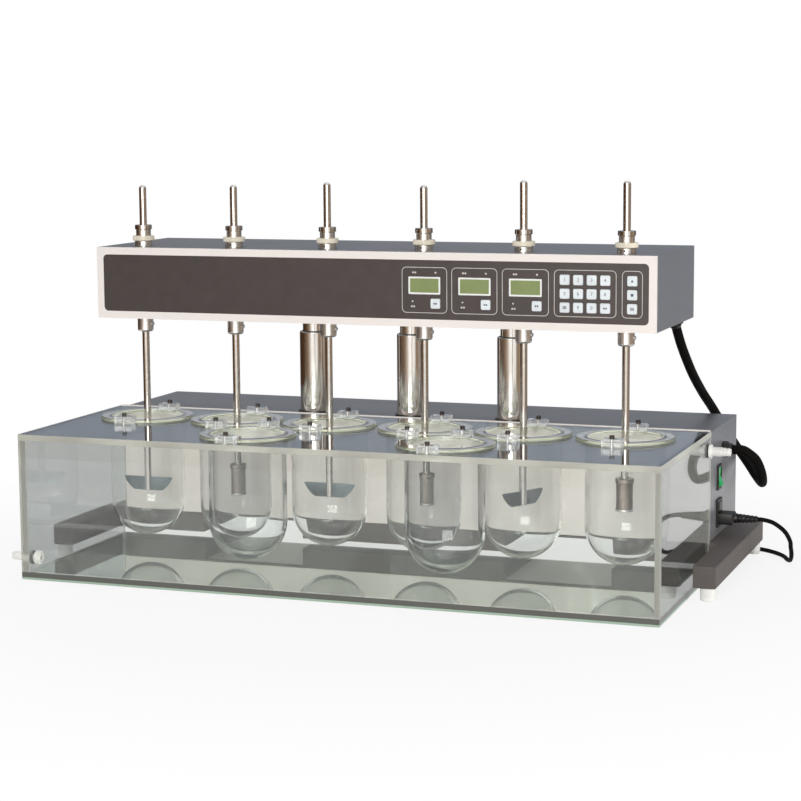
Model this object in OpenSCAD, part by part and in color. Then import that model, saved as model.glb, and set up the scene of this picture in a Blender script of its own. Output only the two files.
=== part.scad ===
// Dissolution tester: a stirring head that lifts on three columns above a clear water bath.
// Paddles and baskets hang into a row of glass vessels, with two spare vessels in front.
// Millimetres, +Z up. The origin lies on the bench under the middle of the instrument.

/* [Stirrers] */
// Distance between neighbouring stirrers
stirrer_pitch = 138; // [134:1:146]
// Distance from the front of the bath back to the line of stirrers
stirrer_from_front = 201; // [196:1:206]
// Diameter of a stirring rod
rod_d = 10; // [8:0.5:12]
// Length of a stirring rod from its tip to the foot of its paddle or basket
rod_len = 429; // [410:1:440]
// Height of the lowest paddle above the glass under it
stirrer_clear = 60; // [45:1:70]
// Width of a paddle blade along its top
blade_w = 74.5; // [60:0.5:80]
// Height of a paddle blade
blade_h = 19; // [14:0.5:24]
// Thickness of a paddle blade
blade_t = 4; // [3:0.5:6]
// Radius of the round sides of a paddle blade
blade_r = 40.3; // [40.1:0.1:44]
// Diameter of a basket's mesh
basket_d = 22; // [18:0.5:26]
// Height of a basket's mesh
basket_h = 37; // [30:1:42]
// Wall of a basket's mesh
basket_wall = 1; // [0.8:0.1:2]
// Diameter of the cap that a basket clips to
basket_cap_d = 25; // [23:0.5:32]
// Height of that cap
basket_cap_h = 6; // [4:0.5:10]

/* [Spindles] */
// Diameter of a spindle where it turns in its bearings
spindle_d = 20; // [16:0.5:24]
// Diameter of the collar under the head
collar_d = 22; // [21:0.5:28]
// Height of the collar under the head
collar_h = 22; // [16:1:28]
// Diameter of the metal socket on top of the head
socket_d = 24.5; // [22:0.5:30]
// Height of the metal socket above the head
socket_h = 7; // [3:0.5:10]
// Diameter of the ivory grip ring
grip_d = 30; // [26:0.5:38]
// Height of the ivory grip ring
grip_h = 7; // [5:0.5:12]
// Diameter of the neck above the grip ring
neck_d = 20.5; // [16:0.5:22]
// Height of the neck above the grip ring
neck_h = 8.5; // [4:0.5:10]
// Width of the lock nut across its corners
nut_d = 23.5; // [21:0.5:28]
// Height of the lock nut
nut_h = 6.5; // [4:0.5:10]
// Outside diameter of a spindle bearing
bearing_d = 42; // [36:1:48]
// Height of a spindle bearing
bearing_h = 12; // [8:0.5:14]

/* [Drive] */
// Diameter of a spindle's belt pulley
pulley_d = 40; // [34:1:46]
// Diameter of the motor's belt pulley
motor_pulley_d = 24; // [18:1:30]
// Height of the belt pulleys
pulley_h = 10; // [8:0.5:14]
// Thickness of the drive belt
belt_t = 2; // [1.5:0.1:3]
// Width of the drive belt
belt_w = 8; // [6:0.5:10]
// Diameter of the drive motor
motor_d = 60; // [50:1:66]
// Height of the drive motor
motor_h = 52; // [40:1:54]
// Diameter of the drive motor's shaft
motor_shaft_d = 8; // [5:0.5:10]
// Distance of the drive motor behind the stirrers
motor_back = 72; // [66:1:78]

/* [Head] */
// Distance of the end stirrers from the ends of the head
head_end = 50; // [48:1:70]
// Depth of the head
head_d = 224; // [216:1:236]
// Height of the head
head_h = 98; // [94:1:110]
// Distance of the head's front before the stirrers
head_front = 45; // [38:1:52]
// Thickness of the front bezel
bezel_t = 4; // [3:0.5:6]
// Width of the bezel's border around the panel
bezel_border = 10; // [7:0.5:14]
// Thickness of the dark panel film
film_t = 0.8; // [0.5:0.1:1.2]
// Corner radius of the dark panel
panel_r = 6; // [2:0.5:10]
// Thickness of the sheet metal covers
sheet_t = 1.5; // [1:0.1:2.5]
// Thickness of the plates that carry the bearings
plate_t = 6; // [5:0.5:8]

/* [Displays and keys] */
// Side of a key
key_w = 13; // [10:0.5:14]
// Corner radius of a key
key_r = 2; // [1:0.1:3]
// How far a key goes in
key_travel = 0.8; // [0.5:0.1:1.2]
// How far a pressed key still stands out of the panel
key_left = 0.2; // [0.1:0.1:0.5]
// Distance between neighbouring keys
key_pitch = 17.8; // [17.5:0.1:19]
// Height of the middle row of keys above the bottom of the head
key_row_up = 48; // [46:0.5:50]
// Distance of the middle of the number keys from the head's right end
keypad_in = 93.3; // [91:0.1:96]
// Distance of the column of function keys from the head's right end
function_in = 31.5; // [29:0.1:34]
// Width of a display
display_w = 44; // [36:0.5:48]
// Height of a display
display_h = 23; // [18:0.5:25]
// Depth of a display module
display_depth = 14; // [10:0.5:18]
// Distance of the middle of the first display from the head's right end
display_in = 310.2; // [305:0.1:313]
// Distance between neighbouring displays
display_pitch = 68.9; // [67:0.1:70]
// Height of the displays above the bottom of the head
display_up = 54.5; // [53:0.5:56]
// Offset of a display's key to the right of the display's middle
display_key_x = 15.2; // [12:0.1:18]
// Height of a display's key above the bottom of the head
display_key_up = 31; // [29:0.5:32]

/* [Columns] */
// Diameter of a column
column_d = 40; // [36:0.5:46]
// Distance between neighbouring columns
column_pitch = 148; // [140:1:160]
// Height of a column above the cabinet
column_h = 117; // [100:1:130]
// Distance of the columns behind the cabinet's front
column_back = 42; // [42:1:56]
// Diameter of the guide rods that carry the head
guide_d = 31; // [24:0.5:32]
// Bare length of the guide rods between the columns and the head
neck_gap = 29; // [28:1:40]
// How far the head rises from where it stands
lift_up = 150; // [120:1:150]
// Length of guide rod that stays in its column with the head at the top
guide_hold = 80; // [60:1:80]

/* [Cabinet and base] */
// How far the cabinet's ends stand in from the bath's ends
cab_in = 2; // [0:0.5:10]
// Depth of the cabinet
cab_d = 185; // [170:1:200]
// Height of the cabinet
cab_h = 149; // [146:1:165]
// Thickness of the cabinet's cream front panel
front_t = 3; // [2:0.5:5]
// Gap between the bath and each arm of the base
arm_gap = 8; // [4:1:16]
// Height of the base
base_h = 29; // [24:1:34]
// Thickness of the base's plate under the cabinet
base_plate_t = 4; // [3:0.5:6]
// Width of the arms beside the bath
arm_w = 30; // [24:1:30]
// How far the arms reach in front of the cabinet
arm_reach = 148; // [120:1:170]
// Width of the base's blocks under the cabinet's ends
end_block_w = 172; // [140:1:190]
// Width of the base's block under the middle of the cabinet
middle_block_w = 300; // [260:1:330]
// Diameter of a foot
foot_d = 21; // [16:1:24]
// Height of a foot
foot_h = 17; // [12:1:22]

/* [Inside the cabinet] */
// Height of the lift's gearbox round the middle column
lift_box_h = 40; // [30:1:50]
// Width of the lift's gearbox
lift_box_w = 90; // [80:1:110]
// Wall of the lift's gearbox round the column and the motor
lift_margin = 8; // [5:1:12]
// Diameter of the lift's motor
lift_motor_d = 38; // [30:1:42]
// Height of the lift's motor above its gearbox
lift_motor_h = 70; // [50:1:90]
// Width of the water heater
heater_w = 170; // [140:1:180]
// Depth of the water heater
heater_d = 90; // [70:1:95]
// Height of the water heater
heater_h = 70; // [50:1:90]
// Distance of the water heater from the middle of the cabinet
heater_off = 120; // [100:1:140]
// Diameter of the circulation pump
pump_d = 76; // [60:1:86]
// Height of the circulation pump
pump_h = 60; // [40:1:68]

/* [Switch and inlet] */
// Distance of the switch and inlet behind the cabinet's front
fittings_back = 62; // [56:1:70]
// Height of the switch above the base
switch_up = 80; // [76:1:84]
// Width of the switch's bezel
switch_w = 24; // [22:0.5:28]
// Height of the switch's bezel
switch_h = 34; // [32:0.5:38]
// Width of the rocker
rocker_w = 16; // [12:0.5:18]
// Height of the rocker
rocker_h = 26; // [20:0.5:28]
// Height of the middle of the inlet above the base
inlet_up = 31; // [28:1:36]
// Width of the inlet's flange
inlet_w = 30; // [29:0.5:34]
// Height of the inlet's flange
inlet_h = 38; // [34:0.5:42]
// Length of the plug body outside the inlet
plug_len = 20; // [16:1:26]
// Length of the plug's strain relief
relief_len = 32; // [20:1:36]
// Diameter of the mains cord
cord_d = 6; // [5:0.5:6.5]
// Diameter of the black conduit
conduit_d = 13; // [10:0.5:14]
// Diameter of a conduit gland
gland_d = 22; // [20:0.5:26]
// Distance of the cabinet's conduit gland behind the cabinet's front
cab_gland_back = 89; // [86:1:96]
// Height of the cabinet's conduit gland above the base
cab_gland_up = 114; // [112:1:120]
// Distance of the head's conduit gland from the head's right end
head_gland_in = 19; // [15:1:25]
// Distance of the head's conduit gland in front of the head's back
head_gland_front = 29; // [24:1:34]

/* [Bath] */
// Room between the rims of the end vessels and the bath's ends
bath_end = 28; // [20:1:40]
// Depth of the bath
bath_d = 299; // [296:1:310]
// Height of the bath with its top plate
bath_h = 197.5; // [195:0.5:210]
// Thickness of the bath's walls
wall_t = 8; // [6:0.5:10]
// Thickness of the bath's floor
floor_t = 10; // [6:0.5:12]
// Thickness of the bath's top plate
top_t = 8; // [6:0.5:10]
// Distance of the overflow in front of the bath's back
overflow_front = 23; // [20:1:40]
// Distance of the overflow below the bath's top
overflow_down = 23.5; // [20:0.5:32]
// Distance of the drain behind the bath's front
drain_back = 30; // [26:1:60]
// Height of the drain
drain_up = 25; // [22:1:40]
// Diameter of a fitting's hose spigot
spigot_d = 11.5; // [9:0.5:12]
// Length of a fitting's hose spigot
spigot_len = 11; // [8:0.5:16]
// Diameter of a fitting's body
fitting_d = 12.5; // [12.1:0.1:14]
// Diameter of a fitting's flange and nut
fitting_flange_d = 19; // [17:0.5:22]
// Bore of a fitting
fitting_bore = 7; // [5:0.5:8]

/* [Vessels] */
// Outside diameter of a vessel
vessel_d = 104; // [98:0.5:106]
// Glass thickness of a vessel
vessel_wall = 2.5; // [2:0.1:3.5]
// Height of a vessel
vessel_h = 170; // [160:1:180]
// Diameter of a vessel's rim
rim_d = 130; // [126:0.5:132]
// Thickness of a vessel's rim
rim_t = 4; // [3:0.5:6]
// Width of a vessel clip
clip_w = 26; // [20:1:34]
// Height of a vessel clip
clip_h = 10.5; // [9:0.5:16]
// How far a clip reaches over the rim
clip_lap = 4; // [3:0.5:7]
// Depth of a clip outside the rim
clip_foot = 12; // [11.5:0.5:13]
// Diameter of a clip screw
screw_d = 4; // [3:0.5:5]
// Diameter of a clip screw's head
screw_head_d = 6.5; // [6:0.5:10]

/* [Hidden] */
$fn = 64;

// Fits, in millimetres on each side
run_fit = 0.05;
seat_fit = 0.02;
loose_fit = 0.3;
cut = 1;
lap = 0.001;

// Stirrers: which carry a paddle, how far each rod is drawn up, and how each blade is turned
STIRRERS = 6;
PADDLE = [true, false, true, false, true, false];
DRAWN_UP = [0, 1, 5, 2, 9, 9];
TURNED = [0, 0, 0, 0, 62, 0];
function shaft_x(i) = (i - (STIRRERS - 1) / 2) * stirrer_pitch;
COLUMNS = [-column_pitch, 0, column_pitch];
SPARES = [-stirrer_pitch, stirrer_pitch];

// Widths, all from the row of stirrers
head_w = 2 * (shaft_x(STIRRERS - 1) + head_end);
bath_w = 2 * (shaft_x(STIRRERS - 1) + rim_d / 2 + bath_end);
cab_w = bath_w - 2 * cab_in;
base_w = bath_w + 2 * (arm_gap + arm_w);

// Heights
base_z = foot_h;
cab_z = base_z + base_h;
cab_top = cab_z + cab_h;
column_top = cab_top + column_h;
head_z = column_top + neck_gap;
head_top = head_z + head_h;
vessel_z = bath_h + rim_t - vessel_h;
foot_z = vessel_z + vessel_wall + stirrer_clear;
overflow_up = bath_h - overflow_down;

// Clip screws: how deep they go into the bath's plate, and how high their heads are
screw_in = 5;
screw_head_h = 4.5;

// Places from front to back
bath_y = -(bath_d + cab_d) / 2;
cab_y = bath_y + bath_d;
cab_back = cab_y + cab_d;
shaft_y = bath_y + stirrer_from_front;
head_y = shaft_y - head_front;
head_back = head_y + head_d;
column_y = cab_y + column_back;
spare_y = shaft_y - stirrer_pitch * sin(60);
fittings_y = cab_y + fittings_back;

// Head: levels of the plates, bearings, pulleys and belt
bridge_air = 8;
bridge_margin = 8;
pulley_air = 2;
post_air = 3;
guide_grip = 12;
bridge_top = head_top - sheet_t - bridge_air;
bridge_z = bridge_top - plate_t;
low_bearing_z = head_z;
high_bearing_z = bridge_top - bearing_h;
pulley_z = high_bearing_z - pulley_air - pulley_h;
belt_z = pulley_z + (pulley_h - belt_w) / 2;
bridge_d = bearing_d + 2 * bridge_margin;
post_t = 4;
post_x = shaft_x(STIRRERS - 1) + pulley_d / 2 + belt_t + loose_fit + post_air;
motor_y = shaft_y + motor_back;
motor_z = head_z + plate_t;

// Keys: name, place across and height on the front, from the head's bottom
key_proud = key_travel + key_left;
row_ups = [key_row_up + key_pitch, key_row_up, key_row_up - key_pitch];
function pad_x(c) = head_w / 2 - keypad_in + (c - 1.5) * key_pitch;
function pad_places() = [for (r = [0:2]) for (c = [0:3]) [pad_x(c), row_ups[r]]];
function function_places() = [for (r = [0:2]) [head_w / 2 - function_in, row_ups[r]]];
function lens_x(m) = head_w / 2 - display_in + m * display_pitch;
function display_key_places() = [for (m = [0:2]) [lens_x(m) + display_key_x, display_key_up]];
KEY_NAMES = [
  "key_1", "key_2", "key_3", "key_4", "key_5", "key_6", "key_7", "key_8", "key_clear", "key_9",
  "key_0", "key_enter", "key_select", "key_run", "key_stop", "key_speed", "key_heat", "key_time"
];
KEY_PLACES = concat(pad_places(), function_places(), display_key_places());
flange_over = 1;
flange_t = 1;

// Guide rods: where they end inside the columns
guide_z = column_top - lift_up - guide_hold;

// Right side of the cabinet
side_x = cab_w / 2;
switch_z = cab_z + switch_up;
inlet_z = cab_z + inlet_up;
bezel_proud = 2.5;
flange_proud = 3;
housing_depth = 16;
rocker_pivot_x = side_x - 3;
rocker_pin_d = 3;
rocker_pin_len = 1;
switch_lip = 4;
inlet_lip = 2;
rocker_tilt = 9;
plug_w = 24;
plug_h = 16;
plug_in = 14;
plug_z = inlet_z - 7;
lift_air = 3;
gland_len = 8;
gland_dome = 6;
gland_thread_d = gland_d - 6;
gland_dome_d = gland_d - 4;
gland_tail = 6;
cab_gland = [side_x, cab_y + cab_gland_back, cab_z + cab_gland_up];
head_gland_at = [head_w / 2 - head_gland_in, head_back - head_gland_front, head_z];
// The head's gland ends in a ball that lets the conduit leave on a slant
ball_drop = 6;
ball_seat = 4;
conduit_way = unit([0.13, 0.48, -0.87]);
ball_at = head_gland_at - [0, 0, ball_drop];

// Route of the mains cord from the plug's strain relief to the coil behind the cabinet
cord_exit = [side_x + flange_proud + plug_len + relief_len, fittings_y, plug_z];
cord_from = [side_x, fittings_y, cord_d / 2];
CORD_ROUTE = concat([cord_exit, cord_exit + [cord_d, 0, 0]], [for (p = [
  [75, 3, 63], [89, 10, 51], [95, 21, 36], [95, 28, 26], [95, 34, 18], [94, 41, 10], [92, 49, 5],
  [89, 58, 1], [84, 68, 0], [76, 87, 0], [64, 104, 0], [49, 118, 0], [32, 128, 0], [13, 135, 0],
  [-7, 140, 0], [-27, 143, 0], [-44, 144, 0], [-56, 144, 0]
]) cord_from + p]);
// Route of the conduit from the head's gland to the cabinet's gland
conduit_top = ball_at + (ball_seat + loose_fit) * conduit_way;
conduit_end = cab_gland + [gland_len + gland_dome, 0, 0];
CONDUIT_ROUTE = concat([conduit_top, conduit_top + conduit_d * conduit_way], [for (p = [
  [-55, -20, 144], [-52, 1, 122], [-49, 33, 96], [-45, 77, 67], [-38, 108, 43], [-29, 120, 23],
  [-16, 122, 2], [0, 115, -18], [16, 101, -34], [31, 80, -47], [43, 57, -53], [49, 35, -48],
  [50, 19, -33], [45, 8, -15], [36, 2, -5]
]) cab_gland + p], [conduit_end + [conduit_d, 0, 0], conduit_end]);
// Coil of the cord that is left over: turns in each of its two layers, and the outer turn's radius
COIL_TURNS = 2.75;
COIL_OUT = 45;
COIL_RINGS = 24;
COIL_AIR = 0.8;
coil_start = CORD_ROUTE[len(CORD_ROUTE) - 1];
coil_step = cord_d + COIL_AIR;
coil_middle = coil_start + [-cord_d, COIL_OUT, 0];
coil_reverse = COIL_TURNS + 0.25;
coil_turns_all = 2 * COIL_TURNS + 0.75;
// The coil winds in, climbs a layer in half a turn, and winds out again
function coil_angle(s) = -90 - 360 * s;
function coil_radius(s) = COIL_OUT - coil_step * (coil_reverse - abs(s - coil_reverse));
function coil_rise(s) = (1 - cos(360 * min(max(s - COIL_TURNS, 0), 0.5))) / 2;
function coil_point(s) =
  coil_middle
  + coil_radius(s) * [cos(coil_angle(s)), sin(coil_angle(s)), 0]
  + [0, 0, coil_step * coil_rise(s)];
coil_points = [for (k = [0:COIL_RINGS * coil_turns_all]) coil_point(k / COIL_RINGS)];
coil_end = coil_points[len(coil_points) - 1] + [0, 2 * cord_d, 0];
coil_path = concat([coil_start], coil_points, [coil_end - [0, cord_d, 0], coil_end]);
function gap_at(i) =
  min([for (j = [i + COIL_RINGS / 2:len(coil_points) - 1]) norm(coil_points[i] - coil_points[j])]);
coil_gap = min([for (i = [0:len(coil_points) - 1 - COIL_RINGS / 2]) gap_at(i)]) - cord_d;
echo(coil_gap = coil_gap);
// Plug on the end of the cord, lying on the bench beside the coil
mains_w = 30;
mains_h = 2 * (cord_d / 2 + coil_step);
mains_len = 34;
mains_relief = 20;
pin_d = 4.8;
pin_len = 18;
pin_pitch = 19;

// A plate with round corners, lying in the XZ plane with its front at y = 0, going back by t
module front_plate(w, h, r, t) {
  translate([0, t, 0])
    rotate([90, 0, 0])
      linear_extrude(t)
        round_outline(w, h, r);
}

// The outline of that plate, about its middle
module round_outline(w, h, r) {
  square([w - 2 * r, h], center = true);
  square([w, h - 2 * r], center = true);
  for (x = [-1, 1])
    for (z = [-1, 1])
      translate([x * (w / 2 - r), z * (h / 2 - r)])
        circle(r);
}

// A box given by its low and high corners
module block(low, high) {
  translate(low)
    cube(high - low);
}

// A cylinder along +X from a point
module rod_x(d, len) {
  rotate([0, 90, 0])
    cylinder(d = d, h = len);
}

// Sweeping a round section along a list of points
function unit(v) = v / norm(v);
function heading(pts, i) = unit(pts[min(i + 1, len(pts) - 1)] - pts[max(i - 1, 0)]);
function carried(v, t) = unit(v - (v * t) * t);
function frames(pts, i = 0, v = [0, 0.2, 1]) =
  i == len(pts) ? [] :
  let (t = heading(pts, i), n = carried(v, t))
  concat([[n, cross(t, n)]], frames(pts, i + 1, n));
function ring(p, f, r, sides) =
  [for (k = [0:sides - 1]) p + r * (cos(360 * k / sides) * f[0] + sin(360 * k / sides) * f[1])];

module swept(pts, d, sides) {
  fr = frames(pts);
  rings = len(pts);
  points = [for (i = [0:rings - 1]) each ring(pts[i], fr[i], d / 2, sides)];
  skin = [for (i = [0:rings - 2]) for (k = [0:sides - 1])
    let (a = i * sides + k, b = i * sides + (k + 1) % sides)
    each [[a, a + sides, b], [b, a + sides, b + sides]]];
  first = [for (k = [1:sides - 2]) [0, k, k + 1]];
  end = (rings - 1) * sides;
  last = [for (k = [1:sides - 2]) [end, end + k + 1, end + k]];
  polyhedron(points, concat(first, skin, last));
}

// Base

module base_frame() {
  color("#4e4742")
    union() {
      block([-base_w / 2, cab_y, cab_z - base_plate_t], [base_w / 2, cab_back, cab_z]);
      block([-middle_block_w / 2, cab_y, base_z], [middle_block_w / 2, cab_back, cab_z]);
      for (s = [0, 1])
        mirror([s, 0, 0]) {
          block([base_w / 2 - end_block_w, cab_y, base_z], [base_w / 2, cab_back, cab_z]);
          block([base_w / 2 - arm_w, cab_y - arm_reach, base_z], [base_w / 2, cab_y + cut, cab_z]);
        }
    }
}

module base_feet() {
  foot_in = 12;
  color("#e9e6dd")
    for (x = [-1, 1])
      for (y = [cab_y - arm_reach + foot_in, cab_back - foot_in])
        translate([x * (base_w / 2 - foot_in), y, 0])
          cylinder(d = foot_d, h = foot_h);
}

// Cabinet

module cabinet_cover() {
  color("#6e6f76")
    difference() {
      block([-side_x, cab_y + front_t, cab_z], [side_x, cab_back, cab_top]);
      block([-side_x + sheet_t, cab_y, cab_z - cut],
            [side_x - sheet_t, cab_back - sheet_t, cab_top - sheet_t]);
      for (x = COLUMNS)
        translate([x, column_y, cab_z])
          cylinder(d = column_d + 2 * loose_fit, h = cab_h + cut);
      side_box(switch_z, switch_w - switch_lip, switch_h - switch_lip, side_x - sheet_t - cut, side_x + cut);
      side_box(inlet_z, inlet_w - inlet_lip, inlet_h - inlet_lip, side_x - sheet_t - cut, side_x + cut);
      translate(cab_gland - [sheet_t + cut, 0, 0])
        rod_x(gland_thread_d + 2 * seat_fit, sheet_t + 2 * cut);
    }
}

// A box in line with the switch and the inlet: height of its middle, width, height and reach along X
module side_box(z, w, h, from, to) {
  block([from, fittings_y - w / 2, z - h / 2], [to, fittings_y + w / 2, z + h / 2]);
}

module cabinet_front_panel() {
  color("#f0e9e2")
    block([-side_x, cab_y, cab_z], [side_x, cab_y + front_t, cab_top]);
}

module column_tubes() {
  color("#d5d8dc")
    for (x = COLUMNS)
      translate([x, column_y, cab_z])
        difference() {
          cylinder(d = column_d, h = column_top - cab_z);
          translate([0, 0, -cut])
            cylinder(d = guide_d + 2 * run_fit, h = column_top - cab_z + 2 * cut);
        }
}

module lift_drive() {
  motor_gap = column_d / 2 + lift_motor_d / 2 + lift_air;
  color("#3c3f44")
    translate([0, column_y, cab_z]) {
      difference() {
        translate([-lift_box_w / 2, -column_d / 2 - lift_margin, 0])
          cube([lift_box_w, column_d + motor_gap + 2 * lift_margin, lift_box_h]);
        translate([0, 0, -cut])
          cylinder(d = column_d + 2 * seat_fit, h = lift_box_h + 2 * cut);
      }
      translate([0, motor_gap, lift_box_h - cut])
        cylinder(d = lift_motor_d, h = lift_motor_h + cut);
    }
}

module heater_pump() {
  heater_x = -heater_off - heater_w;
  heater_y = column_y + column_d / 2 + 2 * lift_air;
  color("#9a9ea3")
    union() {
      translate([heater_x, heater_y, cab_z])
        cube([heater_w, heater_d, heater_h]);
      translate([heater_x, heater_y + heater_d / 2, cab_z])
        cylinder(d = pump_d, h = pump_h);
    }
}

// Switch, inlet and plug on the cabinet's right side

module switch_housing() {
  body_w = switch_w - switch_lip - 2 * seat_fit;
  rocker_room = 3 * loose_fit;
  housing_back = 2;
  color("#1c1c1e")
    difference() {
      union() {
        side_box(switch_z, switch_w, switch_h, side_x, side_x + bezel_proud);
        side_box(switch_z, body_w, switch_h - switch_lip - 2 * seat_fit,
                 side_x - housing_depth, side_x + cut);
      }
      side_box(switch_z, rocker_w + 2 * loose_fit, rocker_h + 2 * rocker_room,
               side_x - housing_depth + housing_back, side_x + bezel_proud + cut);
      translate([rocker_pivot_x, fittings_y, switch_z])
        rotate([90, 0, 0])
          cylinder(d = rocker_pin_d + 2 * run_fit,
                   h = rocker_w + 2 * rocker_pin_len + loose_fit, center = true);
    }
}

module switch_rocker() {
  end_x = 7;
  dip_x = 4.2;
  heel_x = 2;
  heel = rocker_h / 4;
  slope = 3;
  ease = 0.6;
  tip = rocker_h / 2;
  color("#3fae5a")
    translate([rocker_pivot_x, fittings_y, switch_z])
      rotate([0, -rocker_tilt, 0])
        union() {
          rotate([90, 0, 0])
            linear_extrude(rocker_w, center = true)
              polygon([[-heel_x, -heel], [end_x - slope, -tip], [end_x, -tip + ease], [dip_x, 0],
                       [end_x, tip - ease], [end_x - slope, tip], [-heel_x, heel]]);
          rotate([90, 0, 0])
            cylinder(d = rocker_pin_d, h = rocker_w + 2 * rocker_pin_len, center = true);
        }
}

module power_inlet() {
  depth = 24;
  drawer = [20, 13, 1];
  drawer_up = 9;
  color("#1b1b1d")
    difference() {
      union() {
        side_box(inlet_z, inlet_w, inlet_h, side_x, side_x + flange_proud);
        side_box(inlet_z, inlet_w - inlet_lip - 2 * seat_fit, inlet_h - inlet_lip - 2 * seat_fit,
                 side_x - depth, side_x + cut);
        side_box(inlet_z + drawer_up, drawer[0], drawer[1], side_x, side_x + flange_proud + drawer[2]);
      }
      side_box(plug_z, plug_w + 2 * loose_fit, plug_h + 2 * loose_fit,
               side_x + flange_proud - plug_in, side_x + flange_proud + cut);
    }
}

module power_plug() {
  grip = 2;
  ease = 2;
  color("#161617")
    translate([side_x + flange_proud, fittings_y, plug_z])
      union() {
        translate([-plug_in, -plug_w / 2, -plug_h / 2])
          cube([plug_in + plug_len, plug_w, plug_h]);
        translate([plug_len - grip, 0, 0])
          rotate([0, 90, 0])
            cylinder(d1 = plug_h - ease, d2 = cord_d + ease, h = relief_len + grip);
      }
}

module power_cord() {
  color("#141414")
    swept(CORD_ROUTE, cord_d, 8);
}

module power_cord_coil() {
  color("#141414")
    swept(coil_path, cord_d, 6);
}

module mains_plug() {
  ease = 2;
  corner = 5;
  shoulder = 3;
  color("#161617")
    translate(coil_end)
      rotate([-90, 0, 0])
        union() {
          cylinder(d1 = cord_d + ease, d2 = mains_h - 2 * shoulder, h = mains_relief);
          translate([0, 0, mains_relief])
            linear_extrude(mains_len)
              round_outline(mains_w, mains_h, corner);
          for (x = [-1, 1])
            translate([x * pin_pitch / 2, 0, mains_relief + mains_len - cut])
              cylinder(d = pin_d, h = pin_len + cut);
        }
}

module conduit() {
  color("#18181a")
    swept(CONDUIT_ROUTE, conduit_d, 10);
}

// A gland on its thread, along +Z: thread below the sheet at z = 0, then its nut and dome
module gland(thread) {
  union() {
    translate([0, 0, -thread])
      cylinder(d = gland_thread_d, h = thread + cut);
    cylinder(d = gland_d, h = gland_len);
    cylinder(d = gland_dome_d, h = gland_len + gland_dome);
  }
}

module cabinet_gland() {
  color("#1d1d1f")
    translate(cab_gland)
      rotate([0, 90, 0])
        gland(sheet_t + gland_tail);
}

// Bath

module bath_floor() {
  color("#8fa89a", 0.6)
    block([-bath_w / 2, bath_y, 0], [bath_w / 2, cab_y, floor_t]);
}

module bath_walls() {
  high = bath_h - top_t;
  color("#cfdedb", 0.4) {
    block([-bath_w / 2, bath_y, floor_t], [bath_w / 2, bath_y + wall_t, high]);
    block([-bath_w / 2, cab_y - wall_t, floor_t], [bath_w / 2, cab_y, high]);
    for (s = [0, 1])
      mirror([s, 0, 0])
        difference() {
          block([bath_w / 2 - wall_t, bath_y + wall_t + seat_fit, floor_t],
                [bath_w / 2, cab_y - wall_t - seat_fit, high]);
          translate([bath_w / 2 - wall_t - cut,
                     s == 0 ? overflow_y() : drain_y(),
                     s == 0 ? overflow_up : drain_up])
            rod_x(fitting_thread_d() + 2 * seat_fit, wall_t + 2 * cut);
        }
  }
}

function overflow_y() = cab_y - overflow_front;
function drain_y() = bath_y + drain_back;
function fitting_thread_d() = fitting_d - 1;
overflow_body = 14;
drain_body = 13;

module bath_top_plate() {
  color("#d8e4e2", 0.4)
    difference() {
      block([-bath_w / 2, bath_y, bath_h - top_t], [bath_w / 2, cab_y, bath_h]);
      at_vessels(true, true)
        translate([0, 0, bath_h - top_t - cut])
          cylinder(d = vessel_d + 4 * loose_fit, h = top_t + 2 * cut);
      at_clips()
        translate([0, rim_d / 2 + clip_foot / 2, bath_h - screw_in])
          cylinder(d = screw_d + 2 * seat_fit, h = screw_in + cut);
    }
}

// A hose fitting through a wall, its outer face at x = 0: nipple, sealing ring and inner nut
module hose_fitting(body_len) {
  seal_t = 2.5;
  flange_len = 3.5;
  nut_len = 6;
  difference() {
    union() {
      translate([-wall_t - nut_len - 2, 0, 0])
        rod_x(fitting_thread_d(), wall_t + nut_len + 2 + seal_t + cut);
      translate([seal_t, 0, 0])
        rod_x(fitting_flange_d, flange_len);
      translate([seal_t, 0, 0])
        rod_x(fitting_d, flange_len + body_len);
      translate([seal_t, 0, 0])
        rod_x(spigot_d, flange_len + body_len + spigot_len);
    }
    translate([-wall_t - nut_len - 3, 0, 0])
      rod_x(fitting_bore, wall_t + nut_len + 4 + seal_t + flange_len + body_len + spigot_len);
  }
  difference() {
    rod_x(fitting_flange_d - 1, seal_t);
    translate([-cut, 0, 0])
      rod_x(fitting_thread_d() + 2 * seat_fit, seal_t + 2 * cut);
  }
  translate([-wall_t - nut_len, 0, 0])
    difference() {
      rotate([0, 90, 0])
        cylinder(d = fitting_flange_d + 1, h = nut_len, $fn = 6);
      translate([-cut, 0, 0])
        rod_x(fitting_thread_d() + 2 * seat_fit, nut_len + 2 * cut);
    }
}

module overflow_fitting() {
  color("#f2f0ea")
    translate([bath_w / 2, overflow_y(), overflow_up])
      hose_fitting(overflow_body);
}

module drain_fitting() {
  color("#f2f0ea")
    translate([-bath_w / 2, drain_y(), drain_up])
      mirror([1, 0, 0])
        hose_fitting(drain_body);
}

// Places children on the axes of the stirred vessels, the spare vessels or both
module at_vessels(stirred, spare) {
  if (stirred)
    for (i = [0:STIRRERS - 1])
      translate([shaft_x(i), shaft_y, 0])
        children();
  if (spare)
    for (x = SPARES)
      translate([x, spare_y, 0])
        children();
}

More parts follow.
